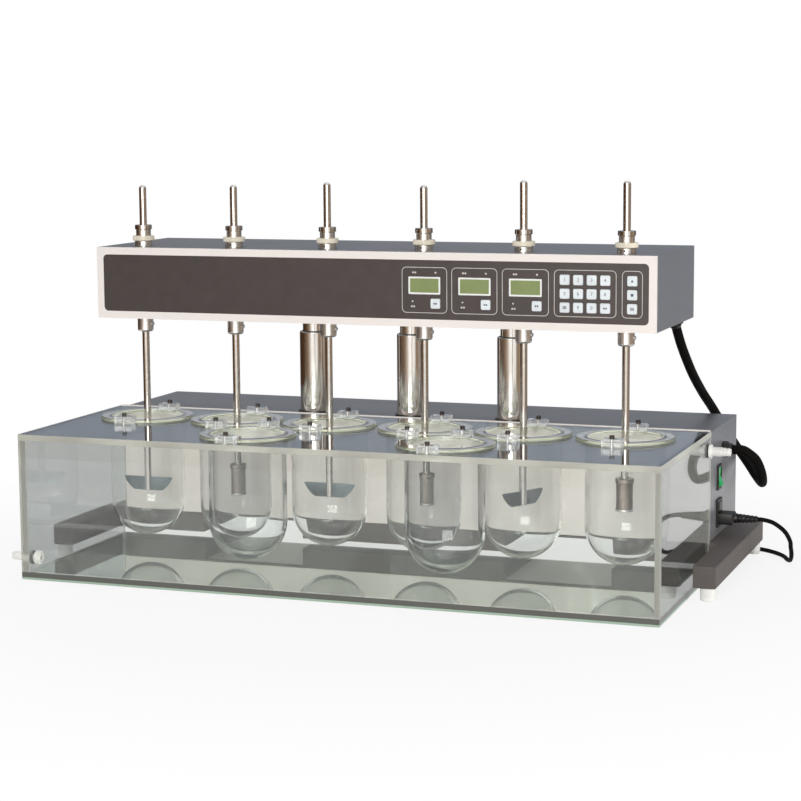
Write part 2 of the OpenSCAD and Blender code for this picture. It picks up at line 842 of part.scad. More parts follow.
// A round-bottomed glass vessel that hangs by its rim
module vessel() {
  r = vessel_d / 2;
  bend = vessel_z + r;
  rotate_extrude($fn = 96)
    difference() {
      union() {
        intersection() {
          translate([0, bend])
            circle(r, $fn = 128);
          translate([0, vessel_z - cut])
            square([r, r + cut]);
        }
        translate([0, bend])
          square([r, bath_h + rim_t - bend]);
        translate([0, bath_h])
          square([rim_d / 2, rim_t]);
      }
      intersection() {
        translate([0, bend])
          circle(r - vessel_wall, $fn = 128);
        translate([-cut, vessel_z - cut])
          square([r + cut, r + cut]);
      }
      translate([-cut, bend - lap])
        square([r - vessel_wall + cut, vessel_h]);
    }
}

module stirred_vessels() {
  color("#dfeceb", 0.35)
    at_vessels(true, false)
      vessel();
}

module spare_vessels() {
  color("#dfeceb", 0.35)
    at_vessels(false, true)
      vessel();
}

// Children at the front and the back of each vessel's rim
module at_clips() {
  at_vessels(true, true)
    for (turn = [0, 180])
      rotate([0, 0, turn])
        children();
}

module clip_block() {
  rim = rim_d / 2;
  difference() {
    translate([-clip_w / 2, rim - clip_lap, bath_h])
      cube([clip_w, clip_lap + clip_foot, clip_h]);
    translate([0, 0, bath_h - cut])
      cylinder(r = rim + loose_fit, h = rim_t + cut + seat_fit);
    translate([0, rim + clip_foot / 2, bath_h - cut])
      cylinder(d = screw_d + 2 * seat_fit, h = clip_h + 2 * cut);
  }
}

module vessel_clips() {
  color("#e6eeee", 0.5)
    at_clips()
      clip_block();
}

module clip_screws() {
  color("#e8e6df")
    at_clips()
      translate([0, rim_d / 2 + clip_foot / 2, bath_h])
        union() {
          translate([0, 0, -screw_in])
            cylinder(d = screw_d, h = screw_in + clip_h + cut);
          translate([0, 0, clip_h])
            cylinder(d = screw_head_d, h = screw_head_h);
        }
}

// Head

module head_cover() {
  color("#77777b")
    difference() {
      block([-head_w / 2, head_y + bezel_t, head_z], [head_w / 2, head_back, head_top]);
      block([-head_w / 2 + sheet_t, head_y, head_z - cut],
            [head_w / 2 - sheet_t, head_back - sheet_t, head_top - sheet_t]);
      for (i = [0:STIRRERS - 1])
        translate([shaft_x(i), shaft_y, head_top - sheet_t - cut])
          cylinder(d = socket_d + 4 * loose_fit, h = sheet_t + 2 * cut);
    }
}

// Openings for the displays and keys, through a plate whose front is at y
module front_openings(y, t, key_room) {
  for (m = [0:2])
    translate([lens_x(m), y - cut, head_z + display_up])
      front_plate(display_w + 2 * seat_fit, display_h + 2 * seat_fit, 1, t + 2 * cut);
  for (p = KEY_PLACES)
    translate([p[0], y - cut, head_z + p[1]])
      front_plate(key_w + 2 * key_room, key_w + 2 * key_room, key_r, t + 2 * cut);
}

panel_w = head_w - 2 * bezel_border;
panel_h = head_h - 2 * bezel_border;

module head_bezel() {
  color("#f0e6e0")
    difference() {
      block([-head_w / 2, head_y, head_z], [head_w / 2, head_y + bezel_t, head_top]);
      translate([0, head_y - cut, head_z + head_h / 2])
        front_plate(panel_w + 2 * seat_fit, panel_h + 2 * seat_fit, panel_r, film_t + cut);
      front_openings(head_y, bezel_t, loose_fit);
    }
}

module head_panel() {
  color("#4d4543")
    difference() {
      translate([0, head_y, head_z + head_h / 2])
        front_plate(panel_w, panel_h, panel_r, film_t);
      front_openings(head_y, film_t, loose_fit);
    }
}

module display_modules() {
  board = 4;
  color("#8a9c60")
    for (m = [0:2])
      translate([lens_x(m), head_y, head_z + display_up])
        union() {
          front_plate(display_w, display_h, 1, bezel_t + cut);
          translate([0, bezel_t, 0])
            front_plate(display_w + board, display_h + 2, 1, display_depth - bezel_t);
        }
}

module guide_rods() {
  color("#c9ccd1")
    for (x = COLUMNS)
      translate([x, column_y, guide_z])
        cylinder(d = guide_d, h = head_z + plate_t + guide_grip - guide_z);
}

module head_chassis() {
  inset = sheet_t + loose_fit;
  color("#8d9095")
    difference() {
      union() {
        block([-head_w / 2 + inset, head_y + bezel_t, head_z],
              [head_w / 2 - inset, head_back - inset, head_z + plate_t]);
        block([-post_x - post_t, shaft_y - bridge_d / 2, bridge_z],
              [post_x + post_t, shaft_y + bridge_d / 2, bridge_top]);
        for (s = [0, 1])
          mirror([s, 0, 0])
            block([post_x, shaft_y - bridge_d / 2, head_z],
                  [post_x + post_t, shaft_y + bridge_d / 2, bridge_top]);
      }
      for (i = [0:STIRRERS - 1])
        translate([shaft_x(i), shaft_y, head_z - cut])
          cylinder(d = bearing_d + 2 * seat_fit, h = head_h);
      for (x = COLUMNS)
        translate([x, column_y, head_z - cut])
          cylinder(d = guide_d + 2 * seat_fit, h = plate_t + 2 * cut);
      translate(head_gland_at - [0, 0, cut])
        cylinder(d = gland_thread_d + 2 * seat_fit, h = plate_t + 2 * cut);
    }
}

module drive_motor() {
  flange = 70;
  flange_in = 4;
  flange_h = 4;
  color("#2f3136")
    union() {
      translate([0, motor_y, motor_z])
        cylinder(d = motor_d, h = motor_h);
      translate([-flange / 2, motor_y - flange / 2 + flange_in, motor_z])
        cube([flange, flange - 2 * flange_in, flange_h]);
      translate([0, motor_y, motor_z])
        cylinder(d = motor_shaft_d, h = pulley_z + pulley_h - motor_z);
    }
}

module motor_pulley() {
  color("#b9bcc0")
    translate([0, motor_y, pulley_z])
      difference() {
        cylinder(d = motor_pulley_d, h = pulley_h);
        translate([0, 0, -cut])
          cylinder(d = motor_shaft_d + 2 * run_fit, h = pulley_h + 2 * cut);
      }
}

// Outline of the belt's path round the end spindles and the motor, grown by a margin
module belt_outline(grow) {
  hull() {
    for (i = [0, STIRRERS - 1])
      translate([shaft_x(i), shaft_y])
        circle(pulley_d / 2 + grow, $fn = 32);
    translate([0, motor_y])
      circle(motor_pulley_d / 2 + grow, $fn = 32);
  }
}

module drive_belt() {
  color("#222222")
    translate([0, 0, belt_z])
      linear_extrude(belt_w)
        difference() {
          belt_outline(loose_fit + belt_t);
          belt_outline(loose_fit);
        }
}

module spindle_bearings() {
  color("#a9adb3")
    for (i = [0:STIRRERS - 1])
      for (z = [low_bearing_z, high_bearing_z])
        translate([shaft_x(i), shaft_y, z])
          difference() {
            cylinder(d = bearing_d, h = bearing_h);
            translate([0, 0, -cut])
              cylinder(d = spindle_d + 2 * run_fit, h = bearing_h + 2 * cut);
          }
}

module head_gland() {
  color("#1d1d1f")
    difference() {
      union() {
        translate(head_gland_at - [0, 0, ball_drop])
          cylinder(d = gland_d, h = ball_drop);
        translate(head_gland_at - [0, 0, cut])
          cylinder(d = gland_thread_d, h = plate_t + gland_tail + cut);
        translate(ball_at)
          sphere(d = gland_dome_d);
      }
      swept([for (reach = [ball_seat, gland_d]) ball_at + reach * conduit_way],
            conduit_d + 2 * loose_fit, 24);
    }
}

// Stirrers: a spindle with its pulley, a grip ring, a lock nut, and the rod that they hold

module spindle() {
  grip_z = head_top + socket_h;
  collar_edge = 2;
  collar_screw_d = 5;
  difference() {
    union() {
      translate([0, 0, head_z - collar_h])
        cylinder(d1 = collar_d - 2 * collar_edge, d2 = collar_d, h = collar_edge);
      translate([0, 0, head_z - collar_h + collar_edge])
        cylinder(d = collar_d, h = collar_h - collar_edge - loose_fit);
      translate([0, 0, head_z - collar_h / 2])
        rod_x(collar_screw_d, collar_d / 2 + collar_edge);
      translate([0, 0, head_z - loose_fit - cut])
        cylinder(d = spindle_d, h = grip_z - head_z + loose_fit + cut);
      translate([0, 0, pulley_z])
        cylinder(d = pulley_d, h = pulley_h);
      translate([0, 0, bridge_top + loose_fit])
        cylinder(d = socket_d, h = grip_z - bridge_top - loose_fit);
      translate([0, 0, grip_z - cut])
        cylinder(d = neck_d, h = grip_h + neck_h + cut);
    }
    translate([0, 0, head_z - collar_h - cut])
      cylinder(d = rod_d + 2 * run_fit, h = head_h + collar_h + socket_h + grip_h + neck_h + 2 * cut);
  }
}

module grip_ring() {
  translate([0, 0, head_top + socket_h])
    difference() {
      cylinder(d = grip_d, h = grip_h);
      translate([0, 0, -cut])
        cylinder(d = neck_d + 2 * seat_fit, h = grip_h + 2 * cut);
    }
}

module lock_nut() {
  translate([0, 0, head_top + socket_h + grip_h + neck_h])
    difference() {
      cylinder(d = nut_d, h = nut_h, $fn = 12);
      translate([0, 0, -cut])
        cylinder(d = rod_d + 2 * run_fit, h = nut_h + 2 * cut);
    }
}

module paddle(foot) {
  top_drop = sqrt(blade_r * blade_r - blade_w * blade_w / 4);
  translate([0, blade_t / 2, foot])
    rotate([90, 0, 0])
      linear_extrude(blade_t)
        intersection() {
          translate([0, blade_h + top_drop])
            circle(blade_r, $fn = 128);
          translate([-blade_w, 0])
            square([2 * blade_w, blade_h]);
        }
}

module basket(foot) {
  rim_h = 3;
  vent_d = 2;
  translate([0, 0, foot])
    difference() {
      union() {
        cylinder(d = basket_d, h = basket_h + cut);
        cylinder(d = basket_d + 2, h = rim_h);
        translate([0, 0, basket_h])
          cylinder(d = basket_cap_d, h = basket_cap_h);
      }
      translate([0, 0, basket_wall])
        cylinder(d = basket_d - 2 * basket_wall, h = basket_h - basket_wall);
      translate([(rod_d + basket_d) / 4 - basket_wall / 2, 0, basket_h - cut])
        cylinder(d = vent_d, h = basket_cap_h + 2 * cut);
    }
}

module stirrer(i) {
  foot = foot_z + DRAWN_UP[i];
  tip_r = rod_d / 2;
  translate([shaft_x(i), shaft_y, 0]) {
    color("#c7cad0")
      spindle();
    color("#f1ead6")
      grip_ring();
    color("#c7cad0")
      lock_nut();
    color("#cfd2d6")
      union() {
        rod_foot = PADDLE[i] ? foot : foot + basket_h + cut;
        translate([0, 0, rod_foot])
          cylinder(d = rod_d, h = foot + rod_len - tip_r - rod_foot);
        translate([0, 0, foot + rod_len - tip_r])
          sphere(d = rod_d);
        rotate([0, 0, TURNED[i]])
          if (PADDLE[i])
            paddle(foot);
          else
            basket(foot);
      }
  }
}

// Keys: a cap through the panel, with a flange that holds it behind the bezel

module key_cap(place) {
  color("#e8eef0")
    translate([place[0], head_y, head_z + place[1]])
      union() {
        translate([0, -key_proud, 0])
          front_plate(key_w, key_w, key_r, key_proud + bezel_t + cut / 2);
        translate([0, bezel_t, 0])
          front_plate(key_w + 2 * flange_over, key_w + 2 * flange_over, key_r, flange_t);
      }
}

base_frame();
base_feet();
cabinet_cover();
cabinet_front_panel();
column_tubes();
lift_drive();
heater_pump();
switch_housing();
switch_rocker();
power_inlet();
power_plug();
power_cord();
power_cord_coil();
mains_plug();
conduit();
cabinet_gland();
bath_floor();
bath_walls();
bath_top_plate();
overflow_fitting();
drain_fitting();
stirred_vessels();
spare_vessels();
vessel_clips();
clip_screws();
head_cover();
head_bezel();
head_panel();
display_modules();
guide_rods();
head_chassis();
drive_motor();
motor_pulley();
drive_belt();
spindle_bearings();
head_gland();
for (i = [0:STIRRERS - 1]) stirrer(i);
for (k = [0:len(KEY_NAMES) - 1]) key_cap(KEY_PLACES[k]);
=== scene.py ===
"""Dresses the dissolution tester: camera, studio, cords, clear bath, glass, metalwork and control panel."""
import logging
import math
from dataclasses import dataclass, field
from enum import Enum
from typing import Sequence

import bmesh
import bpy
from mathutils import Matrix, Vector


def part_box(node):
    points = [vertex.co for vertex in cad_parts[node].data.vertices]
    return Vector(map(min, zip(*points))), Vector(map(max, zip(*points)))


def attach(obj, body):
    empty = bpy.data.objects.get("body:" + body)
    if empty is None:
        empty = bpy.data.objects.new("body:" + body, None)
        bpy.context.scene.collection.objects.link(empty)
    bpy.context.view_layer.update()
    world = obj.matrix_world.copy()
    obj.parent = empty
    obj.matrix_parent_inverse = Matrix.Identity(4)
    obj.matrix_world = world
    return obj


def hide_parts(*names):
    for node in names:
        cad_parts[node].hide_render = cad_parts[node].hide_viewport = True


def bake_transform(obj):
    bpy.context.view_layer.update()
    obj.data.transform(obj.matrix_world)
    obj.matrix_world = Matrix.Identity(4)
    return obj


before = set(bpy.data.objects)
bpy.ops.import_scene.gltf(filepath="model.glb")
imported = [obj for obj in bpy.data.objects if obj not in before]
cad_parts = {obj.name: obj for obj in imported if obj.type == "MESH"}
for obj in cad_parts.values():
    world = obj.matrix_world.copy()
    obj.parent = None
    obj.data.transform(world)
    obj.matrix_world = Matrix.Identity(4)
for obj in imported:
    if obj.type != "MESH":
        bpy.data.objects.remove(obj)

LOG = logging.getLogger("tester")
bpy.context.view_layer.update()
MM = 0.001
GAP = 0.0001
SLIP = 0.00005
FULL_TURN = 2.0 * math.pi
STIRRERS = range(1, 7)
TURNED_BY = {5: 62.0}
NOISE_RANGE = (0.3, 0.7)
WHITE = (1.0, 1.0, 1.0, 1.0)
WELD = 1e-6
FINE_WELD = 1e-7
FLAT_ANGLE = math.radians(0.4)
CRISP_ANGLE = math.radians(40.0)
COPY_SHARP = 18.0
UPRIGHT = 0.95
DOWNWARD = -0.99

Point = tuple[float, float]
Place = tuple[float, float, float]
Colour = tuple[float, float, float]
Piece = bpy.types.Object
Socket = bpy.types.NodeSocket


class Body(Enum):
    """The rigid bodies that pieces ride on, apart from stirrers and keys."""

    BASE = "base"
    HEAD = "head"
    ROCKER = "switch_rocker"
    MOTOR_PULLEY = "motor_pulley"


class Legend(Enum):
    """What is printed on a key that carries no digit."""

    MARKS = "marks"
    TRIANGLE = "triangle"
    SQUARE = "square"
    BARS = "bars"


# Materials


class Graph:
    """A material's or the world's node tree, with short calls for the nodes that they share."""

    def __init__(self, name: str, world: bool = False) -> None:
        """Start an empty tree.

        Args:
            name: the name of the material or the world.
            world: whether the tree is a world's.
        """
        self.owner = (bpy.data.worlds if world else bpy.data.materials).new(name)
        self.owner.use_nodes = True
        self.tree = self.owner.node_tree
        self.tree.nodes.clear()
        self.output = self.node("OutputWorld" if world else "OutputMaterial")

    def node(self, kind: str, inputs: dict[str, object] | None = None, **settings: object) -> bpy.types.Node:
        """Add a node.

        Args:
            kind: the node's type name, without its ShaderNode prefix.
            inputs: values for its input sockets, by socket name.
            settings: values for its own properties.

        Returns:
            The new node.
        """
        made = self.tree.nodes.new("ShaderNode" + kind)
        for key, value in settings.items():
            setattr(made, key, value)
        for key, value in (inputs or {}).items():
            made.inputs[key].default_value = value
        return made

    def link(self, start: Socket, end: Socket) -> None:
        """Join two sockets."""
        self.tree.links.new(start, end)

    def feed(self, shader: bpy.types.Node, sources: dict[str, Socket]) -> None:
        """Join sockets to a shader's inputs, by the inputs' names."""
        for name, source in sources.items():
            self.link(source, shader.inputs[name])

    def place(self, scale: Sequence[float] = (1.0, 1.0, 1.0)) -> Socket:
        """Object coordinates, stretched.

        Args:
            scale: how much each axis is stretched.

        Returns:
            The socket of the stretched coordinates.
        """
        coordinates = self.node("TexCoord")
        mapping = self.node("Mapping", {"Scale": scale})
        self.link(coordinates.outputs["Object"], mapping.inputs["Vector"])
        return mapping.outputs["Vector"]

    def noise(self, scale: float, detail: float = 3.0, stretch: Sequence[float] = (1, 1, 1)) -> Socket:
        """A noise texture on Object coordinates.

        Args:
            scale: the noise's scale, in waves a metre.
            detail: its octaves.
            stretch: how much each axis is stretched.

        Returns:
            The socket of its grey value.
        """
        texture = self.node("TexNoise", {"Scale": scale, "Detail": detail})
        self.link(self.place(stretch), texture.inputs["Vector"])
        return texture.outputs["Fac"]

    def ranged(self, value: Socket, start: Point, end: Point) -> Socket:
        """Map a value from one range to another.

        Args:
            value: the value's socket.
            start: the range that it comes from.
            end: the range that it goes to.

        Returns:
            The socket of the mapped value.
        """
        ends = zip(("From Min", "From Max", "To Min", "To Max"), (*start, *end))
        spread = self.node("MapRange", dict(ends))
        self.link(value, spread.inputs["Value"])
        return spread.outputs["Result"]

    def between(self, value: Socket, low: float, high: float) -> Socket:
        """Stretch a noise's grey value over a range."""
        return self.ranged(value, NOISE_RANGE, (low, high))

    def ramp(self, value: Socket, stops: Sequence[tuple[float, Colour]]) -> Socket:
        """Colour a grey value.

        Args:
            value: the grey value's socket.
            stops: each place on the ramp with its colour, in order.

        Returns:
            The socket of the colour.
        """
        made = self.node("ValToRGB")
        while len(made.color_ramp.elements) < len(stops):
            made.color_ramp.elements.new(0.5)
        for element, (place, colour) in zip(made.color_ramp.elements, stops):
            element.position = place
            element.color = (*colour, 1.0)
        self.link(value, made.inputs["Fac"])
        return made.outputs["Color"]

    def tint(self, value: Socket, dark: Colour, light: Colour) -> Socket:
        """Colour a noise's grey value with two colours, the first at its dark end."""
        return self.ramp(value, tuple(zip(NOISE_RANGE, (dark, light))))

    def mottle(self, value: Socket, colour: Colour, shades: Point) -> Socket:
        """Vary one colour with a noise's grey value, by factors for its dark and its light end."""
        return self.tint(value, *(shaded(colour, shade) for shade in shades))

    def worn(self, value: Socket, roughness: float, wear: Point) -> Socket:
        """Vary a roughness with a noise's grey value, by what its dark and its light end add."""
        return self.between(value, roughness + wear[0], roughness + wear[1])

    def bump(self, height: Socket, strength: float, depth: float) -> Socket:
        """Turn a height into a normal.

        Args:
            height: the height's socket.
            strength: the bump's strength.
            depth: its depth, in metres.

        Returns:
            The socket of the normal.
        """
        made = self.node("Bump", {"Strength": strength, "Distance": depth})
        self.link(height, made.inputs["Height"])
        return made.outputs["Normal"]

    def math(self, operation: str, *values: Socket | float) -> Socket:
        """Work out a number.

        Args:
            operation: the operation's name.
            values: the sockets or numbers that go into it.

        Returns:
            The socket of the result.
        """
        made = self.node("Math", operation=operation)
        for socket, value in zip(made.inputs, values):
            if isinstance(value, float):
                socket.default_value = value
            else:
                self.link(value, socket)
        return made.outputs[0]

    def mixed(self, share: Socket, near: bpy.types.Node, far: bpy.types.Node) -> bpy.types.Node:
        """Mix two shaders.

        Args:
            share: the socket of the second shader's share.
            near: the first shader.
            far: the second shader.

        Returns:
            The mix.
        """
        made = self.node("MixShader")
        for socket, source in zip(made.inputs, (share, near.outputs[0], far.outputs[0])):
            self.link(source, socket)
        return made

    def show(self, shader: bpy.types.Node) -> bpy.types.ID:
        """Send a shader to the output and return the material or the world."""
        self.link(shader.outputs[0], self.output.inputs["Surface"])
        return self.owner

    def surface(self, constants: dict[str, object], sources: dict[str, Socket]) -> bpy.types.Material:
        """Finish the material with one shader.

        Args:
            constants: values for the shader's inputs, by name.
            sources: sockets for its inputs, by name.

        Returns:
            The material.
        """
        shader = self.node("BsdfPrincipled", constants)
        self.feed(shader, sources)
        return self.show(shader)


def linear(red: int, green: int, blue: int) -> Colour:
    """Turn a screen colour into the light values that shaders take.

    Args:
        red: 0 to 255.
        green: 0 to 255.
        blue: 0 to 255.

    Returns:
        The colour in linear light.
    """
    def one(value: int) -> float:
        """Undo the screen's curve for one channel."""
        share = value / 255.0
        return share / 12.92 if share <= 0.04045 else ((share + 0.055) / 1.055) ** 2.4
    return one(red), one(green), one(blue)


def shaded(colour: Colour, share: float) -> Colour:
    """The same colour, lighter or darker by a factor."""
    return tuple(min(1.0, channel * share) for channel in colour)


@dataclass(frozen=True)
class Paint:
    """Powder coat or satin paint on sheet metal."""

    name: str
    colour: Colour
    roughness: float = 0.45
    grain: float = 1500.0
    depth: float = 0.00006
    mottle: float = 0.06
    cloud: float = 9.0
    strength: float = 0.25
    wear: Point = (-0.05, 0.07)
    ior: float = 1.5

    def make(self) -> bpy.types.Material:
        """Build the material, with a fine orange-peel grain and a faint mottle.

        Returns:
            The material.
        """
        graph = Graph(self.name)
        shades = (1.0 - self.mottle, 1.0 + self.mottle)
        peel = graph.noise(self.grain, 2.0)
        return graph.surface({"Roughness": self.roughness, "IOR": self.ior}, {
            "Base Color": graph.mottle(graph.noise(self.cloud, 4.0), self.colour, shades),
            "Normal": graph.bump(peel, self.strength, self.depth),
            "Roughness": graph.worn(peel, self.roughness, self.wear)})


@dataclass(frozen=True)
class Metal:
    """Bare metal with marks from turning, drawing or milling along one axis."""

    name: str
    colour: Colour
    roughness: float
    stretch: Place = (1.0, 1.0, 60.0)
    scale: float = 60.0
    spread: float = 0.06
    depth: float = 0.00001
    shades: Point = (0.9, 1.04)
    strength: float = 0.2
    smoothest: float = 0.02

    def make(self) -> bpy.types.Material:
        """Build the material: its marks vary roughness, colour and a shallow bump.

        Returns:
            The material.
        """
        graph = Graph(self.name)
        marks = graph.noise(self.scale, 4.0, self.stretch)
        low = max(self.smoothest, self.roughness - self.spread)
        return graph.surface({"Metallic": 1.0, "Roughness": self.roughness}, {
            "Base Color": graph.mottle(marks, self.colour, self.shades),
            "Roughness": graph.between(marks, low, self.roughness + self.spread),
            "Normal": graph.bump(marks, self.strength, self.depth)})


@dataclass(frozen=True)
class Moulding:
    """Moulded plastic or rubber."""

    name: str
    colour: Colour
    roughness: float = 0.4
    grain: float = 900.0
    depth: float = 0.00005
    glow: float = 0.0
    ior: float = 1.48
    cloud: float = 60.0
    shades: Point = (0.92, 1.08)
    strength: float = 0.3
    wear: Point = (-0.06, 0.08)

    def make(self) -> bpy.types.Material:
        """Build the material, with a spark-eroded grain and slight wear.

        Returns:
            The material.
        """
        graph = Graph(self.name)
        glow = {"Emission Color": (*self.colour, 1.0), "Emission Strength": self.glow} if self.glow else {}
        grain = graph.noise(self.grain, 2.0)
        return graph.surface({"Roughness": self.roughness, "IOR": self.ior, **glow}, {
            "Base Color": graph.mottle(graph.noise(self.cloud, 3.0), self.colour, self.shades),
            "Normal": graph.bump(grain, self.strength, self.depth),
            "Roughness": graph.worn(grain, self.roughness, self.wear)})


@dataclass(frozen=True)
class Clear:
    """Glass or acrylic."""

    name: str
    colour: Colour
    ior: float
    roughness: float = 0.0
    haze: float = 0.02
    wipe: float = 14.0
    stretch: Place = (1.0, 1.0, 0.4)

    def make(self) -> bpy.types.Material:
        """Build the material: clear, with faint wipe marks in its polish.

        Returns:
            The material.
        """
        graph = Graph(self.name)
        wipes = graph.noise(self.wipe, 3.0, self.stretch)
        return graph.surface({
            "Base Color": (*self.colour, 1.0), "Roughness": self.roughness, "IOR": self.ior,
            "Transmission Weight": 1.0}, {"Roughness": graph.worn(wipes, self.roughness, (0.0, self.haze))})


@dataclass(frozen=True)
class Cut:
    """The cut edge of a clear board or a glass rim, where its tint shows."""

    name: str
    colour: Colour
    roughness: float = 0.3
    clear: float = 0.45
    ior: float = 1.49
    polish: float = 25.0
    shades: Point = (0.97, 1.03)
    wear: Point = (-0.02, 0.02)

    def make(self) -> bpy.types.Material:
        """Build the material: tinted and half clear, with faint polishing marks.

        Returns:
            The material.
        """
        graph = Graph(self.name)
        marks = graph.noise(self.polish, 2.0)
        return graph.surface({
            "Roughness": self.roughness, "IOR": self.ior, "Transmission Weight": self.clear}, {
            "Base Color": graph.mottle(marks, self.colour, self.shades),
            "Roughness": graph.worn(marks, self.roughness, self.wear)})


@dataclass(frozen=True)
class Pane:
    """A pane with a greenish mirror behind it."""

    name: str
    colour: Colour
    roughness: float = 0.03
    mirror: float = 0.85
    ior: float = 1.52
    cloud: float = 5.0
    shades: Point = (0.95, 1.05)
    ripple: float = 18.0
    strength: float = 0.05
    depth: float = 0.0002

    def make(self) -> bpy.types.Material:
        """Build the material, with slow ripples in its polish.

        Returns:
            The material.
        """
        graph = Graph(self.name)
        ripples = graph.noise(self.ripple, 1.0)
        return graph.surface({"Roughness": self.roughness, "IOR": self.ior, "Metallic": self.mirror}, {
            "Base Color": graph.mottle(graph.noise(self.cloud, 3.0), self.colour, self.shades),
            "Normal": graph.bump(ripples, self.strength, self.depth)})


@dataclass(frozen=True)
class Crystal:
    """A liquid crystal display: green, with a faint grid of cells."""

    name: str
    light: Colour
    dark: Colour
    cells: float = 70.0
    grid: float = 0.15
    cloud: float = 30.0
    roughness: float = 0.22
    ior: float = 1.49
    coat: float = 0.4

    def make(self) -> bpy.types.Material:
        """Build the material, with the grid over a faint cloud.

        Returns:
            The material.
        """
        graph = Graph(self.name)
        cells = graph.node("TexWave", {"Scale": self.cells, "Distortion": 0.0}, bands_direction="X")
        graph.link(graph.place(), cells.inputs["Vector"])
        both = graph.math("MULTIPLY_ADD", cells.outputs["Fac"], self.grid, graph.noise(self.cloud, 2.0))
        return graph.surface({"Roughness": self.roughness, "IOR": self.ior, "Coat Weight": self.coat},
                             {"Base Color": graph.tint(both, self.dark, self.light)})


@dataclass(frozen=True)
class Mesh:
    """Woven wire: a fine grid of wires, with painted shade in the gaps between them."""

    name: str
    wire: Colour
    # The gaps' colour is painted shade seen through the weave.
    gap: Colour
    mottle: float = 0.5
    waves: Place = (20.0, 14.0, 1.0)
    slant: float = math.radians(45.0)
    patch: float = 260.0
    roughness: float = 0.38
    strength: float = 0.5
    depth: float = 0.0003

    def make(self) -> bpy.types.Material:
        """Build the material from two crossing sets of waves along the piece's own UV map.

        Returns:
            The material.
        """
        graph = Graph(self.name)
        slanted = graph.node("Mapping", {"Scale": self.waves, "Rotation": (0.0, 0.0, self.slant)})
        graph.link(graph.node("TexCoord").outputs["UV"], slanted.inputs["Vector"])
        heights = []
        for direction in ("X", "Y"):
            wave = graph.node("TexWave", {"Scale": 1.0, "Distortion": 0.0}, bands_direction=direction)
            graph.link(slanted.outputs["Vector"], wave.inputs["Vector"])
            heights.append(wave.outputs["Fac"])
        over = graph.math("MAXIMUM", *heights)
        patches = graph.between(graph.noise(self.patch, 2.0), -0.5, 0.5)
        mottled = graph.math("MULTIPLY_ADD", patches, self.mottle, over)
        return graph.surface({"Metallic": 1.0, "Roughness": self.roughness}, {
            "Base Color": graph.tint(mottled, self.gap, self.wire),
            "Normal": graph.bump(over, self.strength, self.depth)})


